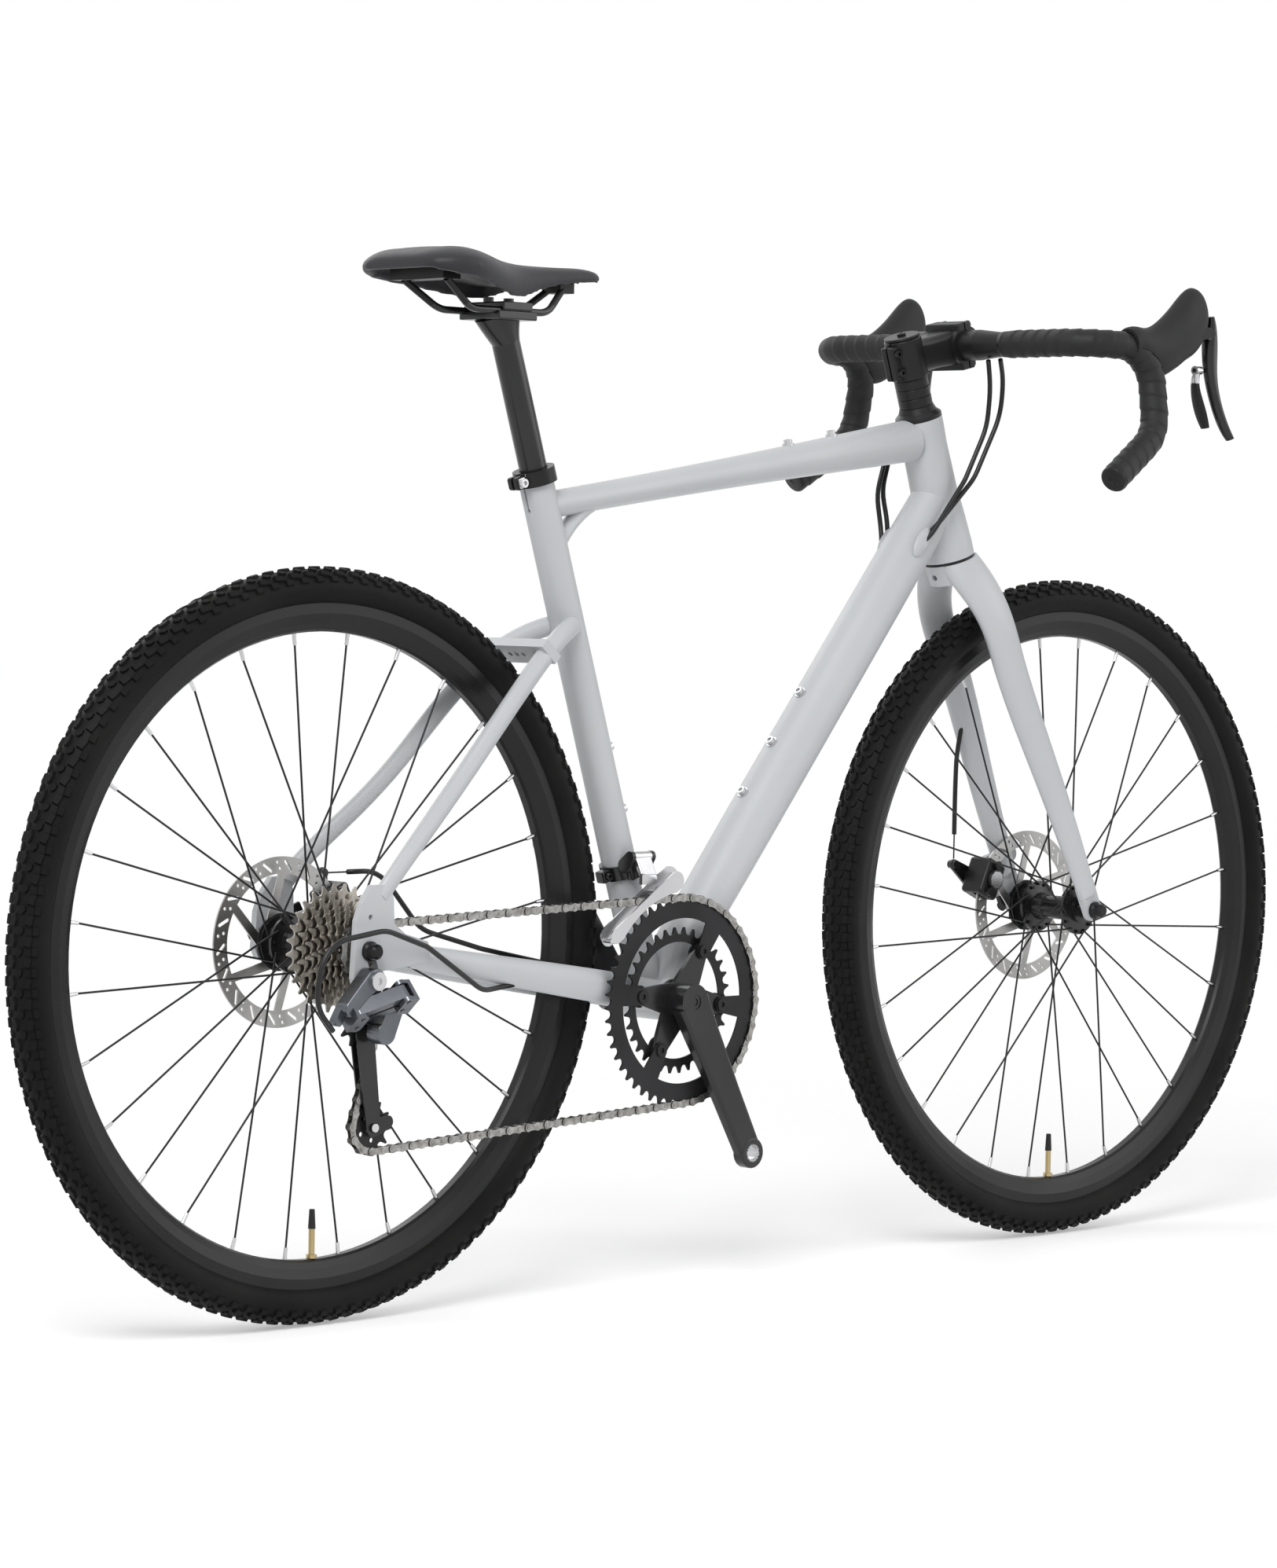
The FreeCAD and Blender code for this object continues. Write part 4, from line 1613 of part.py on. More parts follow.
def main():
    head, top, gusset, down, seat_tube, cutters = frame_tubes()
    save("head_tube", head)
    save("top_tube", top, gusset)
    save("down_tube", down)
    stays, low_bridge, seats, bridge = rear_triangle(cutters)
    bracket = rear_caliper_mount(stays)
    save("chainstays", *stays, low_bridge)
    save("seatstays", *seats, bridge)
    save("seat_tube", seat_tube)
    save("seat_collar", *seat_collar_shapes())
    save("boss_bolts", *boss_bolts(cutters))
    save("bottom_bracket", *bottom_bracket())
    save("rear_axle", *axle_set(REAR, HUB_REAR, QR_REAR))
    save("front_axle", *axle_set(FRONT, HUB_FRONT, QR_FRONT))
    save("front_qr_lever", qr_lever(FRONT, HUB_FRONT, QR_FRONT))
    save("rear_qr_lever", qr_lever(REAR, HUB_REAR, QR_REAR))
    crown, blades = fork()
    save("fork_crown", crown)
    save("fork_blades", *blades)
    save("headset", *headset())
    save("stem", *stem())
    save("handlebar", handlebar())
    save("bar_tape", *bar_tape())
    save("lever_hoods", *hoods())
    for side, lever in zip(("right", "left"), brake_levers()):
        save("brake_lever_" + side, lever)
    for side, paddle in zip(("right", "left"), shift_paddles()):
        save("shift_paddle_" + side, paddle)
    save("seatpost", seatpost())
    save("saddle_clamp", *saddle_clamp())
    cover, base = saddle()
    save("saddle_base", base)
    save("saddle_cover", cover)
    front_hub, rear_hub = hub_profiles()
    for name, axle, profile, flanges, disc in (("front", FRONT, front_hub, FRONT_FLANGES, FRONT_ROTOR_Y),
                                               ("rear", REAR, rear_hub, REAR_FLANGES, REAR_ROTOR_Y)):
        save(name + "_tyre", tyre(axle))
        save(name + "_tube", inner_tube(axle))
        save(name + "_rim", rim(axle))
        save(name + "_spokes", *spokes(axle, flanges[0], flanges[1], FLANGE_CIRCLE))
        save(name + "_hub", hub(axle, profile, flanges[0], flanges[1], FLANGE_CIRCLE))
        save(name + "_rotor", *rotor(axle, disc))
    swing, pins = close_chain()
    save("chain", *chain_links(pins))
    save("chainrings", *chainrings(pins))
    save("cassette", *cassette(pins))
    save("crank_right", *crank_right())
    save("crank_left", *crank_left())
    guide, tension = cage_places(swing)
    save("guide_pulley", pulley(guide, tooth_phase(pins, 2, guide)))
    save("tension_pulley", pulley(tension, tooth_phase(pins, 1, tension)))
    save("derailleur_cage", derailleur_cage(swing))
    save("derailleur_knuckle", derailleur_knuckle())
    save("derailleur_outer_link", derailleur_link(-LINK_REACH))
    save("derailleur_inner_link", derailleur_link(LINK_REACH))
    save("derailleur_lower_knuckle", lower_knuckle())
    save("front_derailleur_body", *front_derailleur_body())
    save("front_derailleur_cage", front_derailleur_cage())
    front_caliper = caliper(CALIPER_FRONT, FRONT, FRONT_ROTOR_Y)
    save("front_brake_caliper", cut_all(front_caliper[0], blades), *front_caliper[1:])
    save("rear_brake_caliper", *caliper(CALIPER_REAR, REAR, REAR_ROTOR_Y), bracket)
    save("front_brake_arm", brake_arm(CALIPER_FRONT, FRONT_ROTOR_Y, ARM_FRONT))
    save("rear_brake_arm", brake_arm(CALIPER_REAR, REAR_ROTOR_Y, ARM_REAR))
    tools = list(cutters) + stays + seats
    housings = control_loops() + [shift_housing(), rear_brake_housing()]
    save("cables", *[cut_all(c, tools) for c in housings])
    save("front_brake_cable", cut_all(front_brake_cable(), blades))


if __name__ == "__main__":
    main()
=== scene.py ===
"""Looks of the gravel bike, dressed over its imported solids."""
import logging
import math
from dataclasses import dataclass, field, replace
from enum import Enum
from typing import Callable, Iterable, Optional

import bmesh
import bpy
from mathutils import Matrix, Vector


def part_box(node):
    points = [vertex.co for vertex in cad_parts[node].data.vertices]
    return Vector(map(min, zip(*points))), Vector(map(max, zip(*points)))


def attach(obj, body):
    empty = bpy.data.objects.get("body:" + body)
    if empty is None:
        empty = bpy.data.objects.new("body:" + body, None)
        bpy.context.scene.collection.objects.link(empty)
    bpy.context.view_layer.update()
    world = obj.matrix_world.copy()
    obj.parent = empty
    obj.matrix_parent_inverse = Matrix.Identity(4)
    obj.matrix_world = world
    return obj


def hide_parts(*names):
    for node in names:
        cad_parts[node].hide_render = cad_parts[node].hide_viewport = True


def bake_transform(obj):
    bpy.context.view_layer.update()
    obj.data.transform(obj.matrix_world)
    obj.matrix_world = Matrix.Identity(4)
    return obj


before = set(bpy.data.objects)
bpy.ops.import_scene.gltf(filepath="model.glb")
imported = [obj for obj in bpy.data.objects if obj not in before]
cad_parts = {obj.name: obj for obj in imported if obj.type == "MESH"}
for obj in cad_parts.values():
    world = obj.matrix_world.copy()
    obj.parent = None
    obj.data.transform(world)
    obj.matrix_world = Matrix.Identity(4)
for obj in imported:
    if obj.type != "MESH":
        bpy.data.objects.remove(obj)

logging.basicConfig(level=logging.INFO, format="%(message)s")
log = logging.getLogger("gravel_bike")

Colour = tuple[float, float, float]
Outline = tuple[tuple[float, float], ...]
NODES: dict[str, bpy.types.Object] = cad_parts


# Shader groups that several finishes share

class Effect(Enum):
    """Names of the shared shader groups."""

    GRAIN = "surface_grain"
    DUST = "settled_dust"
    TURNED = "turned_rings"


CLOUDS_FROM = 0.32
CLOUDS_TO = 0.68
DUST_SLOPE = 0.6
DUST_LEVEL = 0.5
DUST_LEAST = 0.15


def new_group(effect: Effect, inputs: dict[str, float], outputs: Iterable[str]) -> bpy.types.NodeTree:
    """Make an empty shader group.

    Args:
        effect: which effect the group gives.
        inputs: socket names with their starting values.
        outputs: names of the value sockets that come out.

    Returns:
        The group, with its input and output nodes in place.
    """
    tree = bpy.data.node_groups.new(effect.value, "ShaderNodeTree")
    for name, value in inputs.items():
        socket = tree.interface.new_socket(name, in_out="INPUT", socket_type="NodeSocketFloat")
        socket.default_value = value
    for name in outputs:
        tree.interface.new_socket(name, in_out="OUTPUT", socket_type="NodeSocketFloat")
    tree.nodes.new("NodeGroupInput").name = "in"
    tree.nodes.new("NodeGroupOutput").name = "out"
    return tree


def math_node(tree: bpy.types.NodeTree, operation: str,
              *values: bpy.types.NodeSocket | float) -> bpy.types.NodeSocket:
    """Add one math node.

    Args:
        tree: the tree that takes the node.
        operation: Blender's name of the operation.
        values: sockets or numbers for the node's inputs, in order.

    Returns:
        The node's output socket.
    """
    node = tree.nodes.new("ShaderNodeMath")
    node.operation = operation
    for index, value in enumerate(values):
        if isinstance(value, (int, float)):
            node.inputs[index].default_value = value
        else:
            tree.links.new(value, node.inputs[index])
    return node.outputs[0]


def grain_group() -> bpy.types.NodeTree:
    """Fine grain for bump, and broad soft clouds for colour."""
    tree = new_group(Effect.GRAIN, {"Scale": 900.0, "Clouds": 14.0}, ("Mask", "Height"))
    source, out = tree.nodes["in"], tree.nodes["out"]
    place = tree.nodes.new("ShaderNodeTexCoord")
    clouds = tree.nodes.new("ShaderNodeTexNoise")
    clouds.inputs["Detail"].default_value = 4.0
    fine = tree.nodes.new("ShaderNodeTexNoise")
    fine.inputs["Detail"].default_value = 2.0
    for node, name in ((clouds, "Clouds"), (fine, "Scale")):
        tree.links.new(place.outputs["Object"], node.inputs["Vector"])
        tree.links.new(source.outputs[name], node.inputs["Scale"])
    spread = tree.nodes.new("ShaderNodeMapRange")
    spread.inputs["From Min"].default_value = CLOUDS_FROM
    spread.inputs["From Max"].default_value = CLOUDS_TO
    tree.links.new(clouds.outputs["Fac"], spread.inputs["Value"])
    tree.links.new(spread.outputs["Result"], out.inputs["Mask"])
    tree.links.new(fine.outputs["Fac"], out.inputs["Height"])
    return tree


def dust_group() -> bpy.types.NodeTree:
    """A thin film that lies on what faces up, broken by noise."""
    tree = new_group(Effect.DUST, {"Scale": 60.0, "Amount": 0.3}, ("Mask",))
    source, out = tree.nodes["in"], tree.nodes["out"]
    place = tree.nodes.new("ShaderNodeTexCoord")
    noise = tree.nodes.new("ShaderNodeTexNoise")
    noise.inputs["Detail"].default_value = 6.0
    tree.links.new(place.outputs["Object"], noise.inputs["Vector"])
    tree.links.new(source.outputs["Scale"], noise.inputs["Scale"])
    facing = tree.nodes.new("ShaderNodeNewGeometry")
    split = tree.nodes.new("ShaderNodeSeparateXYZ")
    tree.links.new(facing.outputs["Normal"], split.inputs[0])
    lying = math_node(tree, "MULTIPLY_ADD", split.outputs[2], DUST_SLOPE, DUST_LEVEL)
    up = math_node(tree, "MAXIMUM", lying, DUST_LEAST)
    patchy = math_node(tree, "MULTIPLY", up, noise.outputs["Fac"])
    film = math_node(tree, "MULTIPLY", patchy, source.outputs["Amount"])
    tree.links.new(film, out.inputs["Mask"])
    return tree


def turned_group() -> bpy.types.NodeTree:
    """Fine rings round an axle, as a lathe or a grinder leaves them."""
    tree = new_group(Effect.TURNED, {"Scale": 2600.0, "Ahead": 0.0, "Up": 0.35}, ("Mask",))
    source, out = tree.nodes["in"], tree.nodes["out"]
    place = tree.nodes.new("ShaderNodeTexCoord")
    split = tree.nodes.new("ShaderNodeSeparateXYZ")
    tree.links.new(place.outputs["Object"], split.inputs[0])
    dx = math_node(tree, "SUBTRACT", split.outputs[0], source.outputs["Ahead"])
    dz = math_node(tree, "SUBTRACT", split.outputs[2], source.outputs["Up"])
    far = math_node(tree, "SQRT", math_node(tree, "ADD", math_node(tree, "MULTIPLY", dx, dx),
                                            math_node(tree, "MULTIPLY", dz, dz)))
    noise = tree.nodes.new("ShaderNodeTexNoise")
    noise.noise_dimensions = "1D"
    tree.links.new(far, noise.inputs["W"])
    tree.links.new(source.outputs["Scale"], noise.inputs["Scale"])
    tree.links.new(noise.outputs["Fac"], out.inputs["Mask"])
    return tree


GROUPS: dict[Effect, bpy.types.NodeTree] = {
    Effect.GRAIN: grain_group(), Effect.DUST: dust_group(), Effect.TURNED: turned_group()}
MADE: dict[str, bpy.types.Material] = {}


@dataclass(frozen=True)
class Finish:
    """One surface finish: its colours, gloss, grain and film of dust.

    Clouds mix the two colours, and the roughness runs between the two values of rough. Where turned is given,
    fine rings run round the axle at that place ahead and up.
    """

    name: str
    colour: Colour
    second: Colour
    rough: tuple[float, float]
    metallic: float = 0.0
    grain: float = 900.0
    clouds: float = 14.0
    bump: float = 0.1
    depth: float = 0.0002
    coat: float = 0.0
    dust: float = 0.0
    dust_colour: Colour = (0.24, 0.23, 0.21)
    sheen: float = 0.0
    specular: float = 0.5
    turned: Optional[tuple[float, float]] = None
    coat_rough: float = 0.15

    def place_group(self, tree: bpy.types.NodeTree, effect: Effect, **values: float) -> bpy.types.Node:
        """Put a shared group into a material.

        Args:
            tree: the material's node tree.
            effect: which group to place.
            values: numbers for the group's inputs.

        Returns:
            The group node.
        """
        node = tree.nodes.new("ShaderNodeGroup")
        node.node_tree = GROUPS[effect]
        for key, value in values.items():
            node.inputs[key].default_value = value
        return node

    def build(self) -> bpy.types.Material:
        """Return the material, made once and shared after that."""
        if self.name in MADE:
            return MADE[self.name]
        material = bpy.data.materials.new(self.name)
        MADE[self.name] = material
        material.use_nodes = True
        tree = material.node_tree
        shader = tree.nodes["Principled BSDF"]
        shader.inputs["Metallic"].default_value = self.metallic
        shader.inputs["Specular IOR Level"].default_value = self.specular
        shader.inputs["Coat Weight"].default_value = self.coat
        shader.inputs["Coat Roughness"].default_value = self.coat_rough
        shader.inputs["Sheen Weight"].default_value = self.sheen
        grain = self.place_group(tree, Effect.GRAIN, Scale=self.grain, Clouds=self.clouds)
        mix = tree.nodes.new("ShaderNodeMix")
        mix.data_type = "RGBA"
        mix.inputs["A"].default_value = (*self.colour, 1.0)
        mix.inputs["B"].default_value = (*self.second, 1.0)
        tree.links.new(grain.outputs["Mask"], mix.inputs["Factor"])
        colour = mix.outputs["Result"]
        gloss = grain.outputs["Mask"]
        height = grain.outputs["Height"]
        if self.turned is not None:
            rings = self.place_group(tree, Effect.TURNED, Ahead=self.turned[0], Up=self.turned[1])
            gloss = rings.outputs["Mask"]
            height = math_node(tree, "ADD", grain.outputs["Height"], rings.outputs["Mask"])
        if self.dust:
            film = self.place_group(tree, Effect.DUST, Amount=self.dust)
            over = tree.nodes.new("ShaderNodeMix")
            over.data_type = "RGBA"
            over.inputs["B"].default_value = (*self.dust_colour, 1.0)
            tree.links.new(film.outputs["Mask"], over.inputs["Factor"])
            tree.links.new(colour, over.inputs["A"])
            colour = over.outputs["Result"]
        tree.links.new(colour, shader.inputs["Base Color"])
        spread = tree.nodes.new("ShaderNodeMapRange")
        spread.inputs["To Min"].default_value = self.rough[0]
        spread.inputs["To Max"].default_value = self.rough[1]
        tree.links.new(gloss, spread.inputs["Value"])
        tree.links.new(spread.outputs["Result"], shader.inputs["Roughness"])
        bump = tree.nodes.new("ShaderNodeBump")
        bump.inputs["Strength"].default_value = self.bump
        bump.inputs["Distance"].default_value = self.depth
        tree.links.new(height, bump.inputs["Height"])
        tree.links.new(bump.outputs["Normal"], shader.inputs["Normal"])
        return material


AXLE_AHEAD = 0.52
AXLE_UP = 0.35
FRONT_AXLE = Vector((AXLE_AHEAD, 0.0, AXLE_UP))
REAR_AXLE = Vector((-AXLE_AHEAD, 0.0, AXLE_UP))
ROUND_FRONT = (AXLE_AHEAD, AXLE_UP)
ROUND_REAR = (-AXLE_AHEAD, AXLE_UP)

GREY_PAINT = Finish("satin_grey_paint", (0.57, 0.585, 0.6), (0.53, 0.545, 0.565), (0.38, 0.48), grain=220.0,
                    clouds=5.0, bump=0.004, coat=0.08)
BLACK_ALLOY = Finish("black_anodised_alloy", (0.008, 0.008, 0.009), (0.014, 0.014, 0.015), (0.3, 0.42), 0.2,
                     grain=1500.0, bump=0.06, specular=0.32)
BLACK_GLOSS = Finish("black_polished_alloy", (0.011, 0.011, 0.012), (0.017, 0.017, 0.018), (0.18, 0.28), 0.2,
                     grain=1500.0, bump=0.02, coat=0.18, specular=0.42)
BLACK_STEEL = Finish("black_coated_steel", (0.012, 0.012, 0.013), (0.024, 0.024, 0.026), (0.3, 0.44), 0.5,
                     bump=0.05, specular=0.35)
RIM_BLACK = Finish("black_rim_alloy", (0.007, 0.007, 0.0075), (0.011, 0.011, 0.0115), (0.24, 0.34), 0.2,
                   bump=0.02, dust=0.015, specular=0.3)
BRIGHT_STEEL = Finish("bright_steel", (0.62, 0.62, 0.63), (0.52, 0.52, 0.53), (0.18, 0.32), 1.0,
                      grain=2000.0, bump=0.05)
FRONT_DISC = Finish("front_disc_steel", (0.46, 0.455, 0.45), (0.36, 0.355, 0.35), (0.24, 0.4), 1.0,
                    bump=0.1, turned=ROUND_FRONT)
REAR_DISC = replace(FRONT_DISC, name="rear_disc_steel", turned=ROUND_REAR)
CHAIN_STEEL = Finish("oiled_chain_steel", (0.42, 0.415, 0.4), (0.2, 0.195, 0.185), (0.24, 0.42), 0.95,
                     clouds=160.0, bump=0.08)
CHAIN_EDGE = Finish("oiled_chain_edge", (0.1, 0.098, 0.094), (0.04, 0.039, 0.037), (0.3, 0.5), 0.8,
                    clouds=160.0, bump=0.08)
BLUE_GREY_ALLOY = Finish("blue_grey_alloy", (0.1, 0.108, 0.122), (0.15, 0.16, 0.176), (0.2, 0.3), 0.85,
                         grain=1500.0, bump=0.04, coat=0.2)
COG_STEEL = Finish("nickel_cog_steel", (0.52, 0.5, 0.46), (0.38, 0.35, 0.31), (0.22, 0.38), 1.0,
                   clouds=60.0, bump=0.08, turned=ROUND_REAR)
RUBBER = Finish("moulded_rubber", (0.012, 0.012, 0.0125), (0.018, 0.018, 0.0185), (0.5, 0.64), grain=1800.0,
                bump=0.25, depth=0.00025, specular=0.26)
FRONT_RUBBER = Finish("front_tyre_rubber", (0.0045, 0.0045, 0.0047), (0.009, 0.009, 0.0088), (0.44, 0.64),
                      grain=1600.0, bump=0.3, depth=0.0003, dust=0.01, specular=0.1, turned=ROUND_FRONT)
REAR_RUBBER = replace(FRONT_RUBBER, name="rear_tyre_rubber", turned=ROUND_REAR)
TAPE = Finish("wound_tape", (0.013, 0.013, 0.0135), (0.025, 0.025, 0.0255), (0.46, 0.62), grain=1400.0,
              clouds=40.0, bump=0.3, depth=0.0003, specular=0.24)
SADDLE_SKIN = Finish("saddle_skin", (0.03, 0.03, 0.034), (0.04, 0.04, 0.044), (0.42, 0.56), grain=2200.0,
                     bump=0.22, depth=0.0002, sheen=0.05, specular=0.22)
SHELL_PLASTIC = Finish("shell_plastic", (0.008, 0.0078, 0.0075), (0.014, 0.0136, 0.013), (0.34, 0.5),
                       grain=1500.0, bump=0.15, specular=0.26)
PLASTIC = Finish("black_plastic", (0.009, 0.009, 0.0095), (0.015, 0.015, 0.0155), (0.34, 0.46), grain=1500.0,
                 bump=0.12, specular=0.28)
HOUSING = Finish("cable_housing", (0.006, 0.006, 0.0065), (0.011, 0.011, 0.0115), (0.24, 0.34), grain=1200.0,
                 bump=0.04, specular=0.35)
BRASS = Finish("valve_brass", (0.5, 0.4, 0.22), (0.42, 0.33, 0.17), (0.25, 0.36), 1.0, bump=0.04)


# Helpers for modelling and dressing

def clear_selection() -> None:
    """Leave object mode with nothing selected."""
    if bpy.context.mode != "OBJECT":
        bpy.ops.object.mode_set(mode="OBJECT")
    bpy.ops.object.select_all(action="DESELECT")


def activate(obj: bpy.types.Object) -> None:
    """Select one object alone and make it active."""
    clear_selection()
    obj.select_set(True)
    bpy.context.view_layer.objects.active = obj


def smooth(obj: bpy.types.Object, degrees: float) -> None:
    """Shade an object smooth where its faces meet at less than an angle."""
    activate(obj)
    bpy.ops.object.shade_smooth_by_angle(angle=math.radians(degrees))


def tidy_mesh(obj: bpy.types.Object, reach: float = 1e-5) -> None:
    """Merge doubled points and turn faces outwards.

    Args:
        obj: the mesh object.
        reach: points nearer than this are merged.
    """
    activate(obj)
    bpy.ops.object.mode_set(mode="EDIT")
    bpy.ops.mesh.select_all(action="SELECT")
    bpy.ops.mesh.remove_doubles(threshold=reach)
    bpy.ops.mesh.normals_make_consistent(inside=False)
    bpy.ops.object.mode_set(mode="OBJECT")


def spun(name: str, profile: list[Vector], centre: Vector, axis: Vector, steps: int) -> bpy.types.Object:
    """Spin a closed outline round an axis.

    Args:
        name: name of the new object.
        profile: the outline's points, in order.
        centre: a point on the axis.
        axis: direction of the axis.
        steps: segments of the full turn.

    Returns:
        The new object, with its place in its mesh.
    """
    clear_selection()
    bpy.ops.mesh.primitive_circle_add(vertices=len(profile), radius=0.01)
    obj = bpy.context.object
    obj.name = name
    for vertex, place in zip(obj.data.vertices, profile):
        vertex.co = place
    obj.matrix_world = Matrix.Identity(4)
    bpy.ops.object.mode_set(mode="EDIT")
    bpy.ops.mesh.select_all(action="SELECT")
    bpy.ops.mesh.spin(steps=steps, angle=2 * math.pi, center=centre, axis=axis)
    bpy.ops.object.mode_set(mode="OBJECT")
    tidy_mesh(obj)
    return obj


def copy_of_node(node: str, name: str, keep: Optional[Callable[[Vector], bool]] = None) -> bpy.types.Object:
    """Copy a node's mesh into a piece of its own, merged.

    Args:
        node: the node to copy.
        name: name of the new piece.
        keep: test of a face's middle; faces that fail it are left out.

    Returns:
        The new object.
    """
    obj = bpy.data.objects.new(name, NODES[node].data.copy())
    bpy.context.scene.collection.objects.link(obj)
    obj.data.materials.clear()
    if keep is not None:
        shape = bmesh.new()
        shape.from_mesh(obj.data)
        lost = [f for f in shape.faces if not keep(f.calc_center_median())]
        bmesh.ops.delete(shape, geom=lost, context="FACES")
        shape.to_mesh(obj.data)
        shape.free()
    tidy_mesh(obj)
    return obj


def join(name: str, pieces: list[bpy.types.Object]) -> bpy.types.Object:
    """Join pieces into the first one.

    Args:
        name: name of the joined piece.
        pieces: what is joined.

    Returns:
        The joined object.
    """
    clear_selection()
    for piece in pieces:
        piece.select_set(True)
    bpy.context.view_layer.objects.active = pieces[0]
    if len(pieces) > 1:
        bpy.ops.object.join()
    pieces[0].name = name
    return pieces[0]


def dress(obj: bpy.types.Object, finish: Finish) -> None:
    """Give an object one finish all over."""
    obj.data.materials.clear()
    obj.data.materials.append(finish.build())


def dress_nodes(finish: Finish, *names: str) -> None:
    """Give nodes one finish all over."""
    for name in names:
        dress(NODES[name], finish)
        log.info("dressed %s in %s", name, finish.name)


def dress_faces(obj: bpy.types.Object, finish: Finish, test: Callable[[Vector], bool],
                by_normal: bool = False) -> None:
    """Give the faces that pass a test a second finish.

    Args:
        obj: the object, already dressed.
        finish: the second finish.
        test: takes the middle of a face, or its normal.
        by_normal: whether the test takes the normal.
    """
    obj.data.materials.append(finish.build())
    index = len(obj.data.materials) - 1
    for face in obj.data.polygons:
        if test(face.normal if by_normal else face.center):
            face.material_index = index


def middle(node: str) -> Vector:
    """Return the middle of a node's box."""
    low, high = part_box(node)
    return (Vector(low) + Vector(high)) / 2


def off_axle(place: Vector, axle: Vector) -> float:
    """Distance of a point from an axle, square to it."""
    return math.hypot(place.x - axle.x, place.z - axle.z)


# Sub-assemblies

@dataclass
class FrameSet:
    """Painted frame and fork with their fittings."""

    tubes: tuple[str, ...] = ("head_tube", "top_tube", "down_tube", "seat_tube", "chainstays", "seatstays",
                              "fork_crown", "fork_blades")
    collar_bolt_side: float = -0.0078
    collar_bolt_back: float = -0.272

    def build(self) -> None:
        """Dress the tubes and the fittings on them."""
        dress_nodes(GREY_PAINT, *self.tubes)
        dress_nodes(BLACK_ALLOY, "seat_collar", "bottom_bracket", "headset")
        dress_nodes(BRIGHT_STEEL, "boss_bolts")
        dress_nodes(BLACK_STEEL, "rear_axle", "front_axle", "front_qr_lever", "rear_qr_lever")
        dress_faces(NODES["seat_collar"], BRIGHT_STEEL,
                    lambda p: p.y < self.collar_bolt_side and p.x < self.collar_bolt_back)


BAND_OUTLINE: Outline = (
    (0.0126, 0.0), (0.0133, 0.0008), (0.0134, 0.004), (0.0136, 0.0046), (0.0134, 0.0052), (0.0133, 0.0078),
    (0.0126, 0.0084))
PLUG_OUTLINE: Outline = (
    (0.0002, 0.0036), (0.003, 0.0036), (0.0034, 0.0043), (0.0112, 0.0043), (0.0132, 0.0036), (0.0141, 0.002),
    (0.0142, 0.0002), (0.0002, 0.0002))


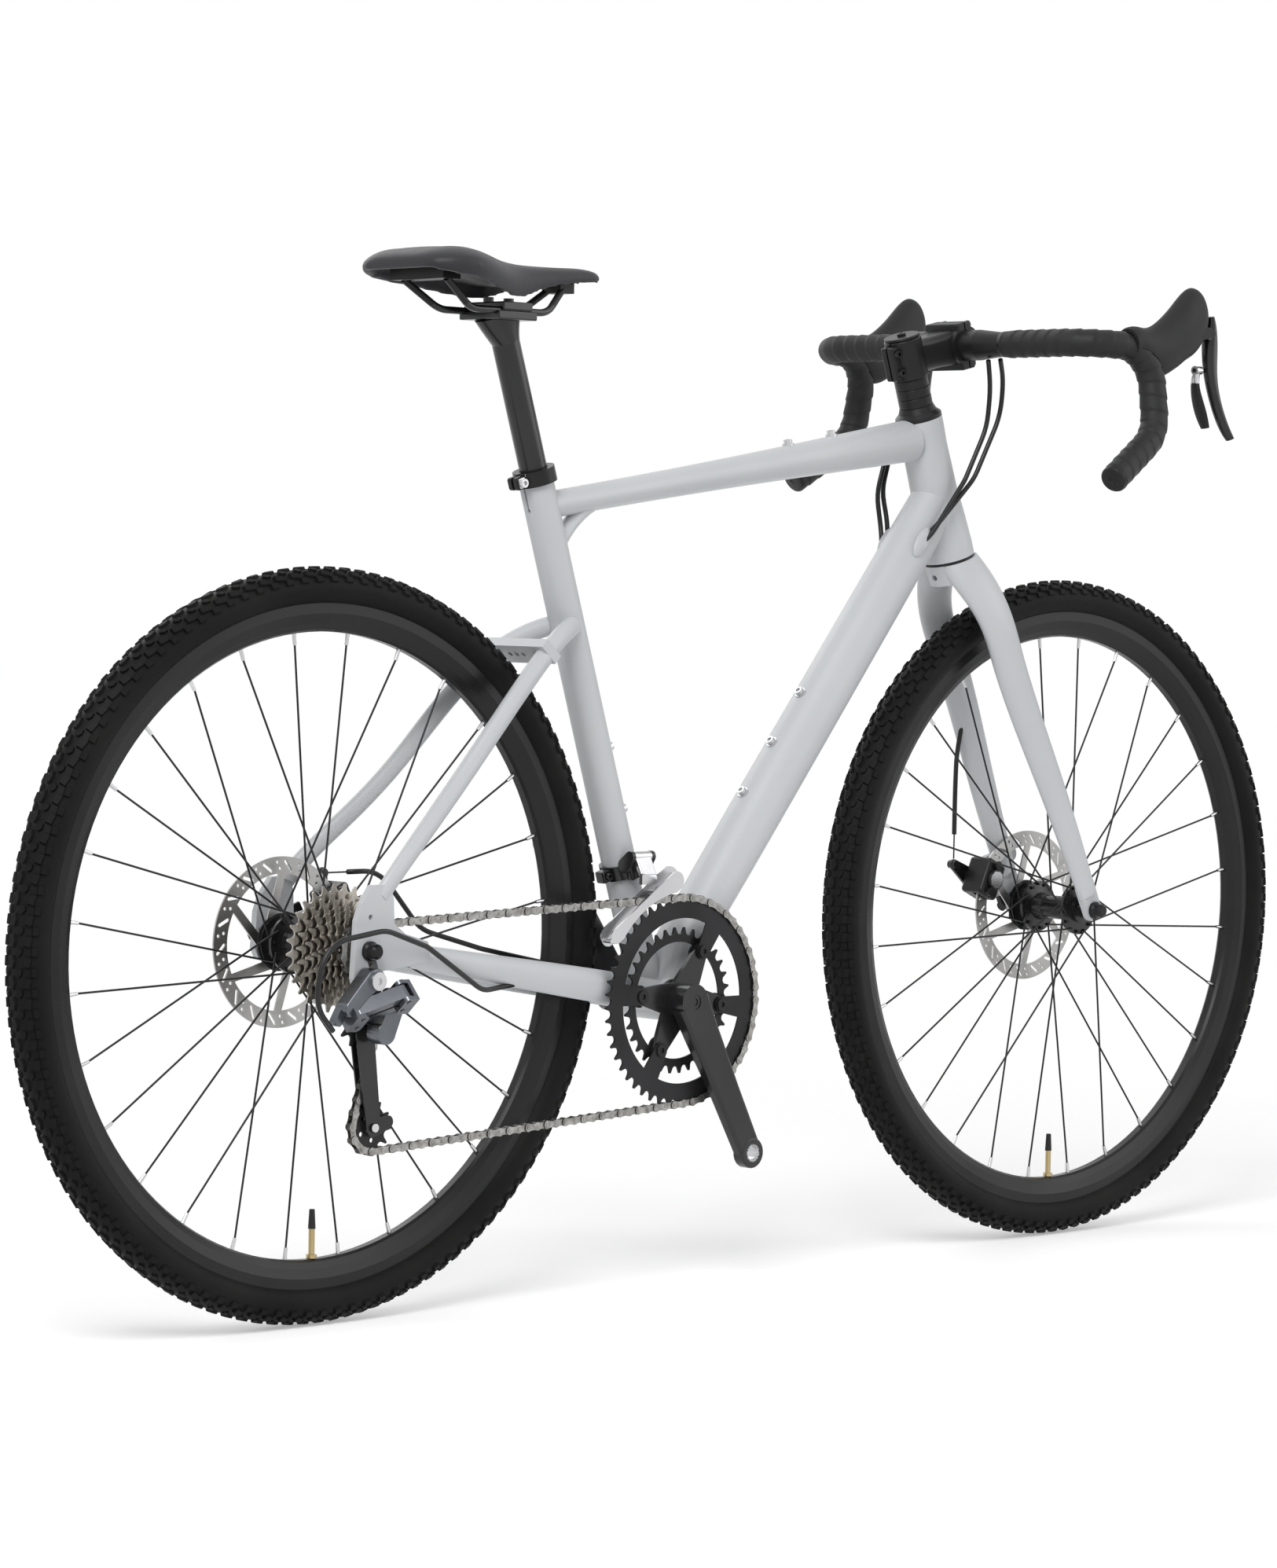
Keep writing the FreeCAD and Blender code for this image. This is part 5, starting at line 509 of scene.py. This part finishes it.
@dataclass
class BarWrap:
    """The wound tape of one side, with its finishing band and end plug.

    The tape's line begins at start and follows half, reach, drop and flare round corners of radius bend. A
    turn of tape begins at the share under of its thickness, rises over the share lap of the pitch, and then
    falls on to the next turn.
    """

    side: int
    bar: Vector = field(default_factory=lambda: Vector((0.337092, 0.0, 0.941457)))
    half: float = 0.196
    reach: float = 0.084
    drop: float = 0.138
    flare: float = 0.027
    bend: float = 0.044
    inner: float = 0.01197
    outer: float = 0.0147
    start: float = 0.082
    pitch: float = 0.0155
    rows_per_turn: int = 11
    around: int = 30
    under: float = 0.62
    lap: float = 0.9
    band_back: float = 0.0085
    bend_share: float = 0.49
    arc_step: float = 0.002
    arc_fewest: int = 4
    turned_steps: int = 32

    def corners(self) -> list[Vector]:
        """Return the corner points of the bar's centre line."""
        marks = [(0, self.start, 0), (0, self.half - 0.004, 0), (self.reach, self.half + 0.002, -0.003),
                 (0.95 * self.reach, self.half + 0.58 * self.flare, -0.66 * self.drop),
                 (0.003, self.half + self.flare, -self.drop)]
        return [self.bar + Vector((x, self.side * y, z)) for x, y, z in marks]

    def line(self, step: float) -> list[tuple[Vector, Vector]]:
        """Follow the bar's runs and bends.

        Args:
            step: distance between two places.

        Returns:
            Places with the direction of the bar there.
        """
        points = self.corners()
        dense: list[Vector] = [points[0]]
        for i in range(1, len(points) - 1):
            u = (points[i - 1] - points[i]).normalized()
            w = (points[i + 1] - points[i]).normalized()
            half = u.angle(w) / 2
            shorter = min((points[i - 1] - points[i]).length, (points[i + 1] - points[i]).length)
            room = self.bend_share * shorter
            cut = min(self.bend / math.tan(half), room)
            radius = cut * math.tan(half)
            centre = points[i] + (u + w).normalized() * (cut / math.cos(half))
            first, last = points[i] + u * cut - centre, points[i] + w * cut - centre
            turn = first.angle(last)
            pole = first.cross(last).normalized()
            steps = max(self.arc_fewest, int(turn * radius / self.arc_step))
            for k in range(steps + 1):
                dense.append(centre + Matrix.Rotation(turn * k / steps, 3, pole) @ first)
        dense.append(points[-1])
        places: list[tuple[Vector, Vector]] = []
        carry = 0.0
        for a, b in zip(dense, dense[1:]):
            run = (b - a).length
            if run < 1e-7:
                continue
            t = carry
            while t <= run:
                places.append((a + (b - a) * (t / run), (b - a).normalized()))
                t += step
            carry = t - run
        return places

    def wrap(self) -> bpy.types.Object:
        """Return the overlapping turns of tape as one closed skin."""
        step = self.pitch / self.rows_per_turn
        places = self.line(step)
        shape = bmesh.new()
        uv = shape.loops.layers.uv.new("wrap")
        rows: list[list[bmesh.types.BMVert]] = []
        inside: list[list[bmesh.types.BMVert]] = []
        normal = Vector((0, 0, 1))
        for i, (place, way) in enumerate(places):
            normal = (normal - way * normal.dot(way)).normalized()
            other = way.cross(normal)
            outer_row, inner_row = [], []
            for k in range(self.around):
                a = 2 * math.pi * k / self.around
                ray = normal * math.cos(a) + other * math.sin(a)
                turn = (i * step / self.pitch - self.side * k / self.around) % 1.0
                rise = min(turn, (1.0 - turn) * self.lap / (1.0 - self.lap))
                lift = self.under + (1.0 - self.under) * rise
                rad = self.inner + (self.outer - self.inner) * lift
                outer_row.append(shape.verts.new(place + ray * rad))
                inner_row.append(shape.verts.new(place + ray * self.inner))
            rows.append(outer_row)
            inside.append(inner_row)
        n = self.around
        for grid, flip in ((rows, False), (inside, True)):
            for i in range(len(grid) - 1):
                for k in range(n):
                    quad = [grid[i][k], grid[i][(k + 1) % n], grid[i + 1][(k + 1) % n], grid[i + 1][k]]
                    face = shape.faces.new(quad[::-1] if flip else quad)
                    face.smooth = True
                    for loop, (du, dv) in zip(face.loops, ((0, 0), (1, 0), (1, 1), (0, 1))):
                        loop[uv].uv = ((k + du) / n, (i + dv) * step / self.pitch)
        for i in (0, -1):
            for k in range(n):
                shape.faces.new([rows[i][k], rows[i][(k + 1) % n], inside[i][(k + 1) % n], inside[i][k]])
        mesh = bpy.data.meshes.new("wrap")
        shape.to_mesh(mesh)
        shape.free()
        obj = bpy.data.objects.new("tape_wrap", mesh)
        bpy.context.scene.collection.objects.link(obj)
        tidy_mesh(obj, 1e-7)
        return obj

    def turned_piece(self, name: str, base: Vector, axis: Vector,
                     profile: Outline) -> bpy.types.Object:
        """Spin a (radius, height) outline on an axis.

        Args:
            name: name of the piece.
            base: where height is nought.
            axis: direction of height.
            profile: the closed outline.

        Returns:
            The new object.
        """
        way = axis.normalized()
        side = way.orthogonal().normalized()
        points = [base + side * r + way * h for r, h in profile]
        return spun(name, points, base, way, self.turned_steps)

    def build(self) -> bpy.types.Object:
        """Return the tape with its band and plug, dressed."""
        wrap = self.wrap()
        smooth(wrap, degrees=50.0)
        ends = self.corners()
        out = Vector((0, self.side, 0))
        band = self.turned_piece("tape_band", ends[0] - out * self.band_back, out, BAND_OUTLINE)
        away = (ends[-1] - ends[-2]).normalized()
        plug = self.turned_piece("tape_plug", ends[-1], away, PLUG_OUTLINE)
        for piece in (band, plug):
            smooth(piece, degrees=40.0)
            dress(piece, PLASTIC)
        dress(wrap, TAPE)
        return join("tape_right" if self.side < 0 else "tape_left", [wrap, band, plug])


@dataclass
class Cockpit:
    """Stem, bar, tape, hoods, levers and paddles."""

    sides: tuple[int, int] = (-1, 1)
    paddle_blade: float = 0.018

    def build(self) -> None:
        """Dress the solids and wind the tape."""
        dress_nodes(BLACK_ALLOY, "stem", "handlebar")
        dress_nodes(RUBBER, "lever_hoods")
        dress_nodes(BLACK_GLOSS, "brake_lever_right", "brake_lever_left")
        dress_nodes(BRIGHT_STEEL, "shift_paddle_right", "shift_paddle_left")
        for word in ("right", "left"):
            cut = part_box("shift_paddle_" + word)[1].z - self.paddle_blade
            dress_faces(NODES["shift_paddle_" + word], PLASTIC, lambda p, cut=cut: p.z < cut)
        for side in self.sides:
            tape = BarWrap(side).build()
            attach(tape, "steering")
            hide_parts("bar_tape")
            log.info("wound %s", tape.name)


@dataclass
class Seat:
    """Seatpost, clamp, shell with rails, and the padded cover.

    The foam may press the skin out by most, and skin whose normal points down past held_below stays in place.
    """

    voxel: float = 0.003
    rounds_before: int = 9
    rounds_after: int = 7
    even_share: float = 0.5
    frames: int = 20
    quality: int = 5
    mass: float = 0.3
    stiffness: float = 20.0
    bending: float = 2.0
    pressure: float = 4.0
    most: float = 0.0022
    held_below: float = -0.25
    rail_height: float = 0.012

    def relax(self, obj: bpy.types.Object, rounds: int) -> None:
        """Even out the skin.

        Args:
            obj: the cover, which is changed in place.
            rounds: how many times each vertex moves towards its neighbours.
        """
        activate(obj)
        even = obj.modifiers.new("even", "SMOOTH")
        even.factor = self.even_share
        even.iterations = rounds
        bpy.ops.object.modifier_apply(modifier=even.name)

    def inflate(self, obj: bpy.types.Object) -> None:
        """Let the foam press the skin out, held on its underside.

        Args:
            obj: the remeshed cover, which is changed in place.
        """
        rest = [vertex.co.copy() for vertex in obj.data.vertices]
        held = obj.vertex_groups.new(name="held")
        for vertex in obj.data.vertices:
            if vertex.normal.z < self.held_below:
                held.add([vertex.index], 1.0, "REPLACE")
        cloth = obj.modifiers.new("foam", "CLOTH")
        cloth.settings.quality = self.quality
        cloth.settings.mass = self.mass
        cloth.settings.tension_stiffness = self.stiffness
        cloth.settings.compression_stiffness = self.stiffness
        cloth.settings.bending_stiffness = self.bending
        cloth.settings.effector_weights.gravity = 0.0
        cloth.settings.use_pressure = True
        cloth.settings.uniform_pressure_force = self.pressure
        cloth.settings.vertex_group_mass = held.name
        cloth.collision_settings.use_collision = False
        cloth.point_cache.frame_start = 1
        cloth.point_cache.frame_end = self.frames
        for moment in range(1, self.frames + 1):
            bpy.context.scene.frame_set(moment)
        activate(obj)
        bpy.ops.object.modifier_apply(modifier=cloth.name)
        far = 0.0
        for vertex, place in zip(obj.data.vertices, rest):
            move = vertex.co - place
            far = max(far, move.length)
            if move.length > self.most:
                vertex.co = place + move.normalized() * self.most
        bpy.context.scene.frame_set(1)
        log.info("foam pressed the skin out by up to %.2f mm", 1000 * min(far, self.most))

    def cover(self) -> bpy.types.Object:
        """Return the padded cover: remeshed, evened out, pressed out and made finer."""
        obj = copy_of_node("saddle_cover", "saddle_pad")
        activate(obj)
        remesh = obj.modifiers.new("skin", "REMESH")
        remesh.mode = "VOXEL"
        remesh.voxel_size = self.voxel
        bpy.ops.object.modifier_apply(modifier="skin")
        self.relax(obj, self.rounds_before)
        self.inflate(obj)
        self.relax(obj, self.rounds_after)
        finer = obj.modifiers.new("finer", "SUBSURF")
        finer.levels = 1
        finer.render_levels = 1
        activate(obj)
        bpy.ops.object.modifier_apply(modifier="finer")
        tidy_mesh(obj, 1e-6)
        bpy.ops.object.shade_smooth()
        return obj

    def build(self) -> None:
        """Dress the seat and pad its cover."""
        dress_nodes(BLACK_GLOSS, "seatpost", "saddle_clamp")
        dress_nodes(SHELL_PLASTIC, "saddle_base")
        rail_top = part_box("saddle_base")[0].z + self.rail_height
        dress_faces(NODES["saddle_base"], BLACK_GLOSS, lambda p: p.z < rail_top)
        pad = self.cover()
        dress(pad, SADDLE_SKIN)
        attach(pad, "seat")
        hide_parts("saddle_cover")
        log.info("padded the saddle")


class Knob(Enum):
    """Kinds of block in the tread: length, width, height in metres, sides of the block."""

    CENTRE = (0.0135, 0.0072, 0.0022, 6)
    INNER = (0.0088, 0.0058, 0.0022, 6)
    SHOULDER = (0.0105, 0.0066, 0.0026, 4)
    EDGE = (0.0088, 0.0062, 0.0022, 4)


@dataclass
class Tyre:
    """One tyre: casing with beads, and the blocks of its tread.

    The casing is lower than the radius by tread, so that the blocks end there. Below lip_depth it narrows to
    bead_half, and it ends at bead_depth.
    """

    name: str
    axle: Vector
    rubber: Finish
    radius: float = 0.35
    width: float = 0.04
    tread: float = 0.0022
    pitches: int = 118
    around: int = 236
    section_steps: int = 32
    side_inset: float = 0.0004
    lip_depth: float = 0.0326
    bead_depth: float = 0.0386
    bead_half: float = 0.0101
    block_top: float = 0.8
    block_root: float = -0.001
    six_swell: float = 1.12

    def section(self, a: float) -> tuple[float, float]:
        """Find a place on the casing's round section.

        Args:
            a: angle from the crown, in radians.

        Returns:
            Distance from the axle, and distance from the wheel's middle plane.
        """
        core = self.radius - self.width / 2
        crown = self.radius - self.tread
        half = self.width / 2 - self.side_inset
        return core + (crown - core) * math.cos(a), half * math.sin(a)

    def casing(self) -> bpy.types.Object:
        """Return the spun casing, closed into the rim."""
        lip = self.radius - self.lip_depth
        bead = self.radius - self.bead_depth
        points: list[Vector] = []
        for k in range(self.section_steps):
            r, y = self.section(2 * math.pi * k / self.section_steps)
            if r < lip:
                y = max(-self.bead_half, min(self.bead_half, y))
                r = max(r, bead)
            points.append(self.axle + Vector((r, y, 0)))
        obj = spun(self.name, points, self.axle, Vector((0, 1, 0)), self.around)
        smooth(obj, degrees=60.0)
        return obj

    def block(self, kind: Knob) -> bpy.types.Mesh:
        """Model one block standing on +X: a cut prism with a smaller top.

        Args:
            kind: which block of the tread.

        Returns:
            Its mesh, without the face that lies on the casing.
        """
        length, width, height, sides = kind.value
        clear_selection()
        bpy.ops.mesh.primitive_cylinder_add(vertices=sides, radius=0.5, depth=1.0, end_fill_type="NGON")
        obj = bpy.context.object
        turn = Matrix.Rotation(math.pi / sides, 4, "Z") if sides == 4 else Matrix.Identity(4)
        swell = math.sqrt(2) if sides == 4 else self.six_swell
        shape = bmesh.new()
        shape.from_mesh(obj.data)
        shape.transform(turn)
        for vertex in shape.verts:
            top = vertex.co.z > 0
            scale = self.block_top if top else 1.0
            u = vertex.co.x * swell * scale
            v = vertex.co.y * swell * scale
            vertex.co = Vector((height if top else self.block_root, v * width, u * length))
        under = [f for f in shape.faces if all(v.co.x < 0 for v in f.verts)]
        bmesh.ops.delete(shape, geom=under, context="FACES_ONLY")
        bmesh.ops.recalc_face_normals(shape, faces=shape.faces)
        shape.to_mesh(obj.data)
        shape.free()
        mesh = obj.data.copy()
        bpy.data.objects.remove(obj)
        return mesh

    def rows(self) -> list[tuple[Knob, float, float, float]]:
        """Return (block, angle across, phase along, twist) of each row."""
        made = [(Knob.CENTRE, 0.0, 0.0, 0.0)]
        for s in (-1.0, 1.0):
            made.append((Knob.INNER, s * 24.0, 0.5, s * 0.35))
            made.append((Knob.SHOULDER, s * 45.0, 0.0, s * 0.2))
            made.append((Knob.EDGE, s * 63.0, 0.5, 0.0))
        return made

    def build(self) -> bpy.types.Object:
        """Return the dressed tyre with its tread."""
        obj = self.casing()
        shape = bmesh.new()
        shape.from_mesh(obj.data)
        blocks = {kind: self.block(kind) for kind in Knob}
        for kind, across, phase, twist in self.rows():
            a = math.radians(across)
            place = Vector((*self.section(a), 0.0))
            set_in = Matrix.Translation(place) @ Matrix.Rotation(a, 4, "Z") @ Matrix.Rotation(twist, 4, "X")
            for k in range(self.pitches):
                turn = Matrix.Rotation(2 * math.pi * (k + phase) / self.pitches, 4, "Y")
                count = len(shape.verts)
                shape.from_mesh(blocks[kind])
                shape.verts.ensure_lookup_table()
                bmesh.ops.transform(shape, matrix=Matrix.Translation(self.axle) @ turn @ set_in,
                                    verts=shape.verts[count:])
        shape.to_mesh(obj.data)
        shape.free()
        dress(obj, self.rubber)
        return obj


@dataclass
class Wheel:
    """Tyre, tube, rim, spokes, hub and disc of one wheel.

    The radii say where the nipples begin, and where the disc's bolts, the valve and its cap end.
    """

    end: str
    axle: Vector
    disc: Finish
    rubber: Finish
    nipples: float = 0.2765
    disc_bolts: float = 0.0272
    valve: float = 0.296
    cap: float = 0.262

    def reaches(self, radius: float) -> Callable[[Vector], bool]:
        """Return a test of whether a point lies nearer to the axle than a radius."""
        return lambda p: off_axle(p, self.axle) < radius

    def build(self) -> None:
        """Dress the solids and put the tyre on."""
        dress_nodes(RIM_BLACK, self.end + "_rim")
        dress_nodes(BLACK_STEEL, self.end + "_spokes")
        dress_faces(NODES[self.end + "_spokes"], BRIGHT_STEEL,
                    lambda p: off_axle(p, self.axle) > self.nipples)
        dress_nodes(BLACK_GLOSS, self.end + "_hub")
        dress_nodes(self.disc, self.end + "_rotor")
        dress_faces(NODES[self.end + "_rotor"], BLACK_STEEL, self.reaches(self.disc_bolts))
        dress_nodes(RUBBER, self.end + "_tube")
        dress_faces(NODES[self.end + "_tube"], BRASS, self.reaches(self.valve))
        dress_faces(NODES[self.end + "_tube"], PLASTIC, self.reaches(self.cap))
        tyre = Tyre(self.end + "_tread_tyre", self.axle, self.rubber).build()
        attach(tyre, self.end + "_wheel")
        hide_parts(self.end + "_tyre")
        log.info("built %s", tyre.name)


@dataclass
class Drive:
    """Cranks, rings, chain, cogs, derailleurs.

    The radii round the crank ends, the hanger and the pulleys hold bright faces. A chain face is a plate's
    flat side where its normal points sideways by more than flat.
    """

    crank_ends: tuple[Vector, Vector] = (Vector((-0.012735, -0.068, 0.129729)),
                                         Vector((-0.163911, 0.068, 0.434271)))
    thread_edge: float = 0.0081
    hanger: Vector = field(default_factory=lambda: Vector((-0.525, 0.0, 0.324)))
    hanger_head: float = 0.0087
    pulley_bolt: float = 0.0036
    flat: float = 0.9

    def build(self) -> None:
        """Dress every piece of the drive."""
        dress_nodes(BLACK_GLOSS, "crank_right", "crank_left")
        for node, end in zip(("crank_right", "crank_left"), self.crank_ends):
            dress_faces(NODES[node], BRIGHT_STEEL, lambda p, end=end: off_axle(p, end) < self.thread_edge)
        dress_nodes(BLACK_STEEL, "chainrings")
        dress_nodes(CHAIN_EDGE, "chain")
        dress_faces(NODES["chain"], CHAIN_STEEL, lambda n: abs(n.y) > self.flat, by_normal=True)
        dress_nodes(COG_STEEL, "cassette")
        dress_nodes(BLUE_GREY_ALLOY, "derailleur_knuckle", "derailleur_outer_link", "derailleur_inner_link",
                    "derailleur_lower_knuckle")
        dress_faces(NODES["derailleur_knuckle"], BRIGHT_STEEL,
                    lambda p: off_axle(p, self.hanger) < self.hanger_head)
        dress_nodes(BLACK_GLOSS, "derailleur_cage", "front_derailleur_body")
        for pulley in ("guide_pulley", "tension_pulley"):
            dress_faces(NODES["derailleur_cage"], BRIGHT_STEEL,
                        lambda p, hub=middle(pulley): off_axle(p, hub) < self.pulley_bolt)
        dress_nodes(BRIGHT_STEEL, "front_derailleur_cage")
        dress_nodes(PLASTIC, "guide_pulley", "tension_pulley")


@dataclass
class Brakes:
    """Calipers with their arms."""

    front_bolt: Vector = field(default_factory=lambda: Vector((0.454, 0.0, 0.38)))
    bolt_side: float = 0.0245
    bolt_head: float = 0.0088

    def build(self) -> None:
        """Dress the calipers and arms."""
        dress_nodes(BLACK_ALLOY, "front_brake_caliper", "rear_brake_caliper")
        dress_nodes(BLACK_GLOSS, "front_brake_arm", "rear_brake_arm")
        dress_faces(NODES["front_brake_caliper"], BRIGHT_STEEL,
                    lambda p: p.y < self.bolt_side and off_axle(p, self.front_bolt) < self.bolt_head)


@dataclass
class Cables:
    """Housings: loops that follow the bar, and runs fixed to the frame.

    What lies ahead of split belongs to the loops. Lip and hollow are the thickness and depth of the two
    insets in the boot's face.
    """

    split: float = 0.2
    mouth: Vector = field(default_factory=lambda: Vector((0.2715, 0.0248, 0.7362)))
    mouth_size: Vector = field(default_factory=lambda: Vector((0.0185, 0.0045, 0.0088)))
    mouth_turn: float = -53.0
    mouth_face: float = 0.82
    lip: tuple[float, float] = (0.08, 0.04)
    hollow: tuple[float, float] = (0.06, -0.1)
    port: Vector = field(default_factory=lambda: Vector((0.285, 0.0, 0.76)))
    bar: Vector = field(default_factory=lambda: Vector((0.337, 0.0, 0.925)))

    def grommet(self, side: int) -> bpy.types.Object:
        """Model the oval boot where two housings enter the down tube.

        Args:
            side: which side of the bike it is on.

        Returns:
            The boot, with a lip round its sunken face.
        """
        clear_selection()
        bpy.ops.mesh.primitive_uv_sphere_add(segments=28, ring_count=16, radius=1.0)
        obj = bpy.context.object
        obj.name = "port_boot_right" if side < 0 else "port_boot_left"
        bpy.ops.object.mode_set(mode="EDIT")
        bpy.ops.mesh.select_all(action="DESELECT")
        bpy.ops.object.mode_set(mode="OBJECT")
        for face in obj.data.polygons:
            face.select = face.center.y * side > self.mouth_face
        bpy.ops.object.mode_set(mode="EDIT")
        for thickness, depth in (self.lip, self.hollow):
            bpy.ops.mesh.inset(thickness=thickness, depth=depth)
        bpy.ops.object.mode_set(mode="OBJECT")
        turn = Matrix.Rotation(math.radians(self.mouth_turn), 4, "Y")
        place = Vector((self.mouth.x, side * self.mouth.y, self.mouth.z))
        obj.data.transform(Matrix.Translation(place) @ turn @ Matrix.Diagonal((*self.mouth_size, 1.0)))
        tidy_mesh(obj, 1e-6)
        smooth(obj, degrees=50.0)
        dress(obj, GREY_PAINT)
        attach(obj, "frame")
        return obj

    def build(self) -> None:
        """Set the boots, dress the housings, and fix the rear runs to the frame."""
        for side in (-1, 1):
            log.info("set %s", self.grommet(side).name)
        loops = copy_of_node("cables", "control_loops", lambda p: p.x > self.split)
        rear = copy_of_node("cables", "rear_housings", lambda p: p.x <= self.split)
        for piece in (loops, rear):
            smooth(piece, degrees=50.0)
            dress(piece, HOUSING)
            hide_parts("cables")
        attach(rear, "frame")
        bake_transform(loops)
        dress_nodes(HOUSING, "front_brake_cable")
        log.info("laid the housings")


@dataclass
class Studio:
    """Camera, lamps, floor and background.

    The floor is whole within floor_full and gone at floor_end. The room lights the bike by room_light, and
    the camera sees it brighter by seen_light.
    """

    place: Vector = field(default_factory=lambda: Vector((-3.448658, -3.402762, 0.694025)))
    azimuth: float = -44.482
    elevation: float = 2.419
    roll: float = 1.033
    lens: float = 111.76
    sensor: float = 36.0
    aim: Vector = field(default_factory=lambda: Vector((0, 0, 0.5)))
    room_light: float = 0.38
    seen_light: float = 0.62
    floor_radius: float = 2.6
    floor_height: float = -0.0005
    floor_full: float = 0.9
    floor_end: float = 2.3
    floor_grey: float = 0.82
    floor_rough: float = 0.9
    floor_glow: float = 0.34

    def camera(self) -> None:
        """Set the camera to the photograph's view."""
        a, e, r = (math.radians(v) for v in (self.azimuth, self.elevation, self.roll))
        right = Vector((math.cos(a), math.sin(a), 0.0))
        back = Vector((math.sin(a) * math.cos(e), -math.cos(a) * math.cos(e), math.sin(e)))
        up = back.cross(right)
        right, up = right * math.cos(r) + up * math.sin(r), up * math.cos(r) - right * math.sin(r)
        data = bpy.data.cameras.new("camera")
        data.sensor_fit = "VERTICAL"
        data.sensor_height = self.sensor
        data.lens = self.lens
        data.clip_end = 100.0
        obj = bpy.data.objects.new("camera", data)
        obj.matrix_world = Matrix((
            (right.x, up.x, back.x, self.place.x), (right.y, up.y, back.y, self.place.y),
            (right.z, up.z, back.z, self.place.z), (0, 0, 0, 1)))
        bpy.context.scene.collection.objects.link(obj)
        bpy.context.scene.camera = obj

    def lamp(self, name: str, place: tuple[float, float, float], power: float, size: float) -> None:
        """Hang one soft lamp that faces the bike.

        Args:
            name: name of the lamp.
            place: where it hangs.
            power: watts.
            size: width of its square face.
        """
        data = bpy.data.lights.new(name, "AREA")
        data.energy = power
        data.size = size
        obj = bpy.data.objects.new(name, data)
        obj.location = place
        obj.rotation_euler = (self.aim - Vector(place)).to_track_quat("-Z", "Y").to_euler()
        bpy.context.scene.collection.objects.link(obj)

    def shown(self, tree: bpy.types.NodeTree) -> bpy.types.NodeSocket:
        """Return a socket that is one for rays of the camera, of gloss and of glass."""
        rays = tree.nodes.new("ShaderNodeLightPath")
        first = math_node(tree, "MAXIMUM", rays.outputs["Is Camera Ray"], rays.outputs["Is Glossy Ray"])
        return math_node(tree, "MAXIMUM", first, rays.outputs["Is Transmission Ray"])

    def fade(self, tree: bpy.types.NodeTree) -> bpy.types.NodeSocket:
        """Return a socket that is one under the bike and falls to nought further out."""
        place = tree.nodes.new("ShaderNodeTexCoord")
        length = tree.nodes.new("ShaderNodeVectorMath")
        length.operation = "LENGTH"
        tree.links.new(place.outputs["Object"], length.inputs[0])
        spread = tree.nodes.new("ShaderNodeMapRange")
        spread.interpolation_type = "SMOOTHSTEP"
        spread.inputs["From Min"].default_value = self.floor_full
        spread.inputs["From Max"].default_value = self.floor_end
        spread.inputs["To Min"].default_value = 1.0
        spread.inputs["To Max"].default_value = 0.0
        tree.links.new(length.outputs["Value"], spread.inputs["Value"])
        return spread.outputs["Result"]

    def floor(self) -> None:
        """Lay a pale floor that keeps the shadow."""
        clear_selection()
        bpy.ops.mesh.primitive_circle_add(vertices=96, radius=self.floor_radius, fill_type="NGON",
                                          location=(0, 0, self.floor_height))
        obj = bpy.context.object
        obj.name = "studio_floor"
        material = bpy.data.materials.new("studio_white")
        material.use_nodes = True
        tree = material.node_tree
        shader = tree.nodes["Principled BSDF"]
        shader.inputs["Base Color"].default_value = (*[self.floor_grey] * 3, 1)
        shader.inputs["Roughness"].default_value = self.floor_rough
        shader.inputs["Emission Color"].default_value = (1, 1, 1, 1)
        shader.inputs["Emission Strength"].default_value = self.floor_glow
        tree.links.new(self.fade(tree), shader.inputs["Alpha"])
        obj.data.materials.append(material)

    def world(self) -> None:
        """Light the room evenly and show it white."""
        world = bpy.data.worlds.new("studio")
        bpy.context.scene.world = world
        world.use_nodes = True
        tree = world.node_tree
        sky = tree.nodes["Background"]
        sky.inputs["Color"].default_value = (1, 1, 1, 1)
        strength = math_node(tree, "MULTIPLY_ADD", self.shown(tree), self.seen_light, self.room_light)
        tree.links.new(strength, sky.inputs["Strength"])

    def build(self) -> None:
        """Set the whole studio."""
        bpy.context.scene.view_settings.view_transform = "Standard"
        self.camera()
        self.world()
        self.floor()
        self.lamp("key", (-2.8, -1.6, 3.4), power=112.0, size=2.0)
        self.lamp("fill", (2.6, -2.8, 2.2), power=36.0, size=2.8)
        self.lamp("back", (0.5, 3.2, 2.8), power=26.0, size=2.6)


def main() -> None:
    """Build the bike's looks, piece by piece."""
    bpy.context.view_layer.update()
    front = Wheel("front", FRONT_AXLE, FRONT_DISC, FRONT_RUBBER)
    rear = Wheel("rear", REAR_AXLE, REAR_DISC, REAR_RUBBER)
    for assembly in (Studio(), FrameSet(), Cockpit(), Seat(), front, rear, Drive(), Brakes(), Cables()):
        assembly.build()
        log.info("finished %s", type(assembly).__name__)
    clear_selection()


if __name__ == "__main__":
    main()
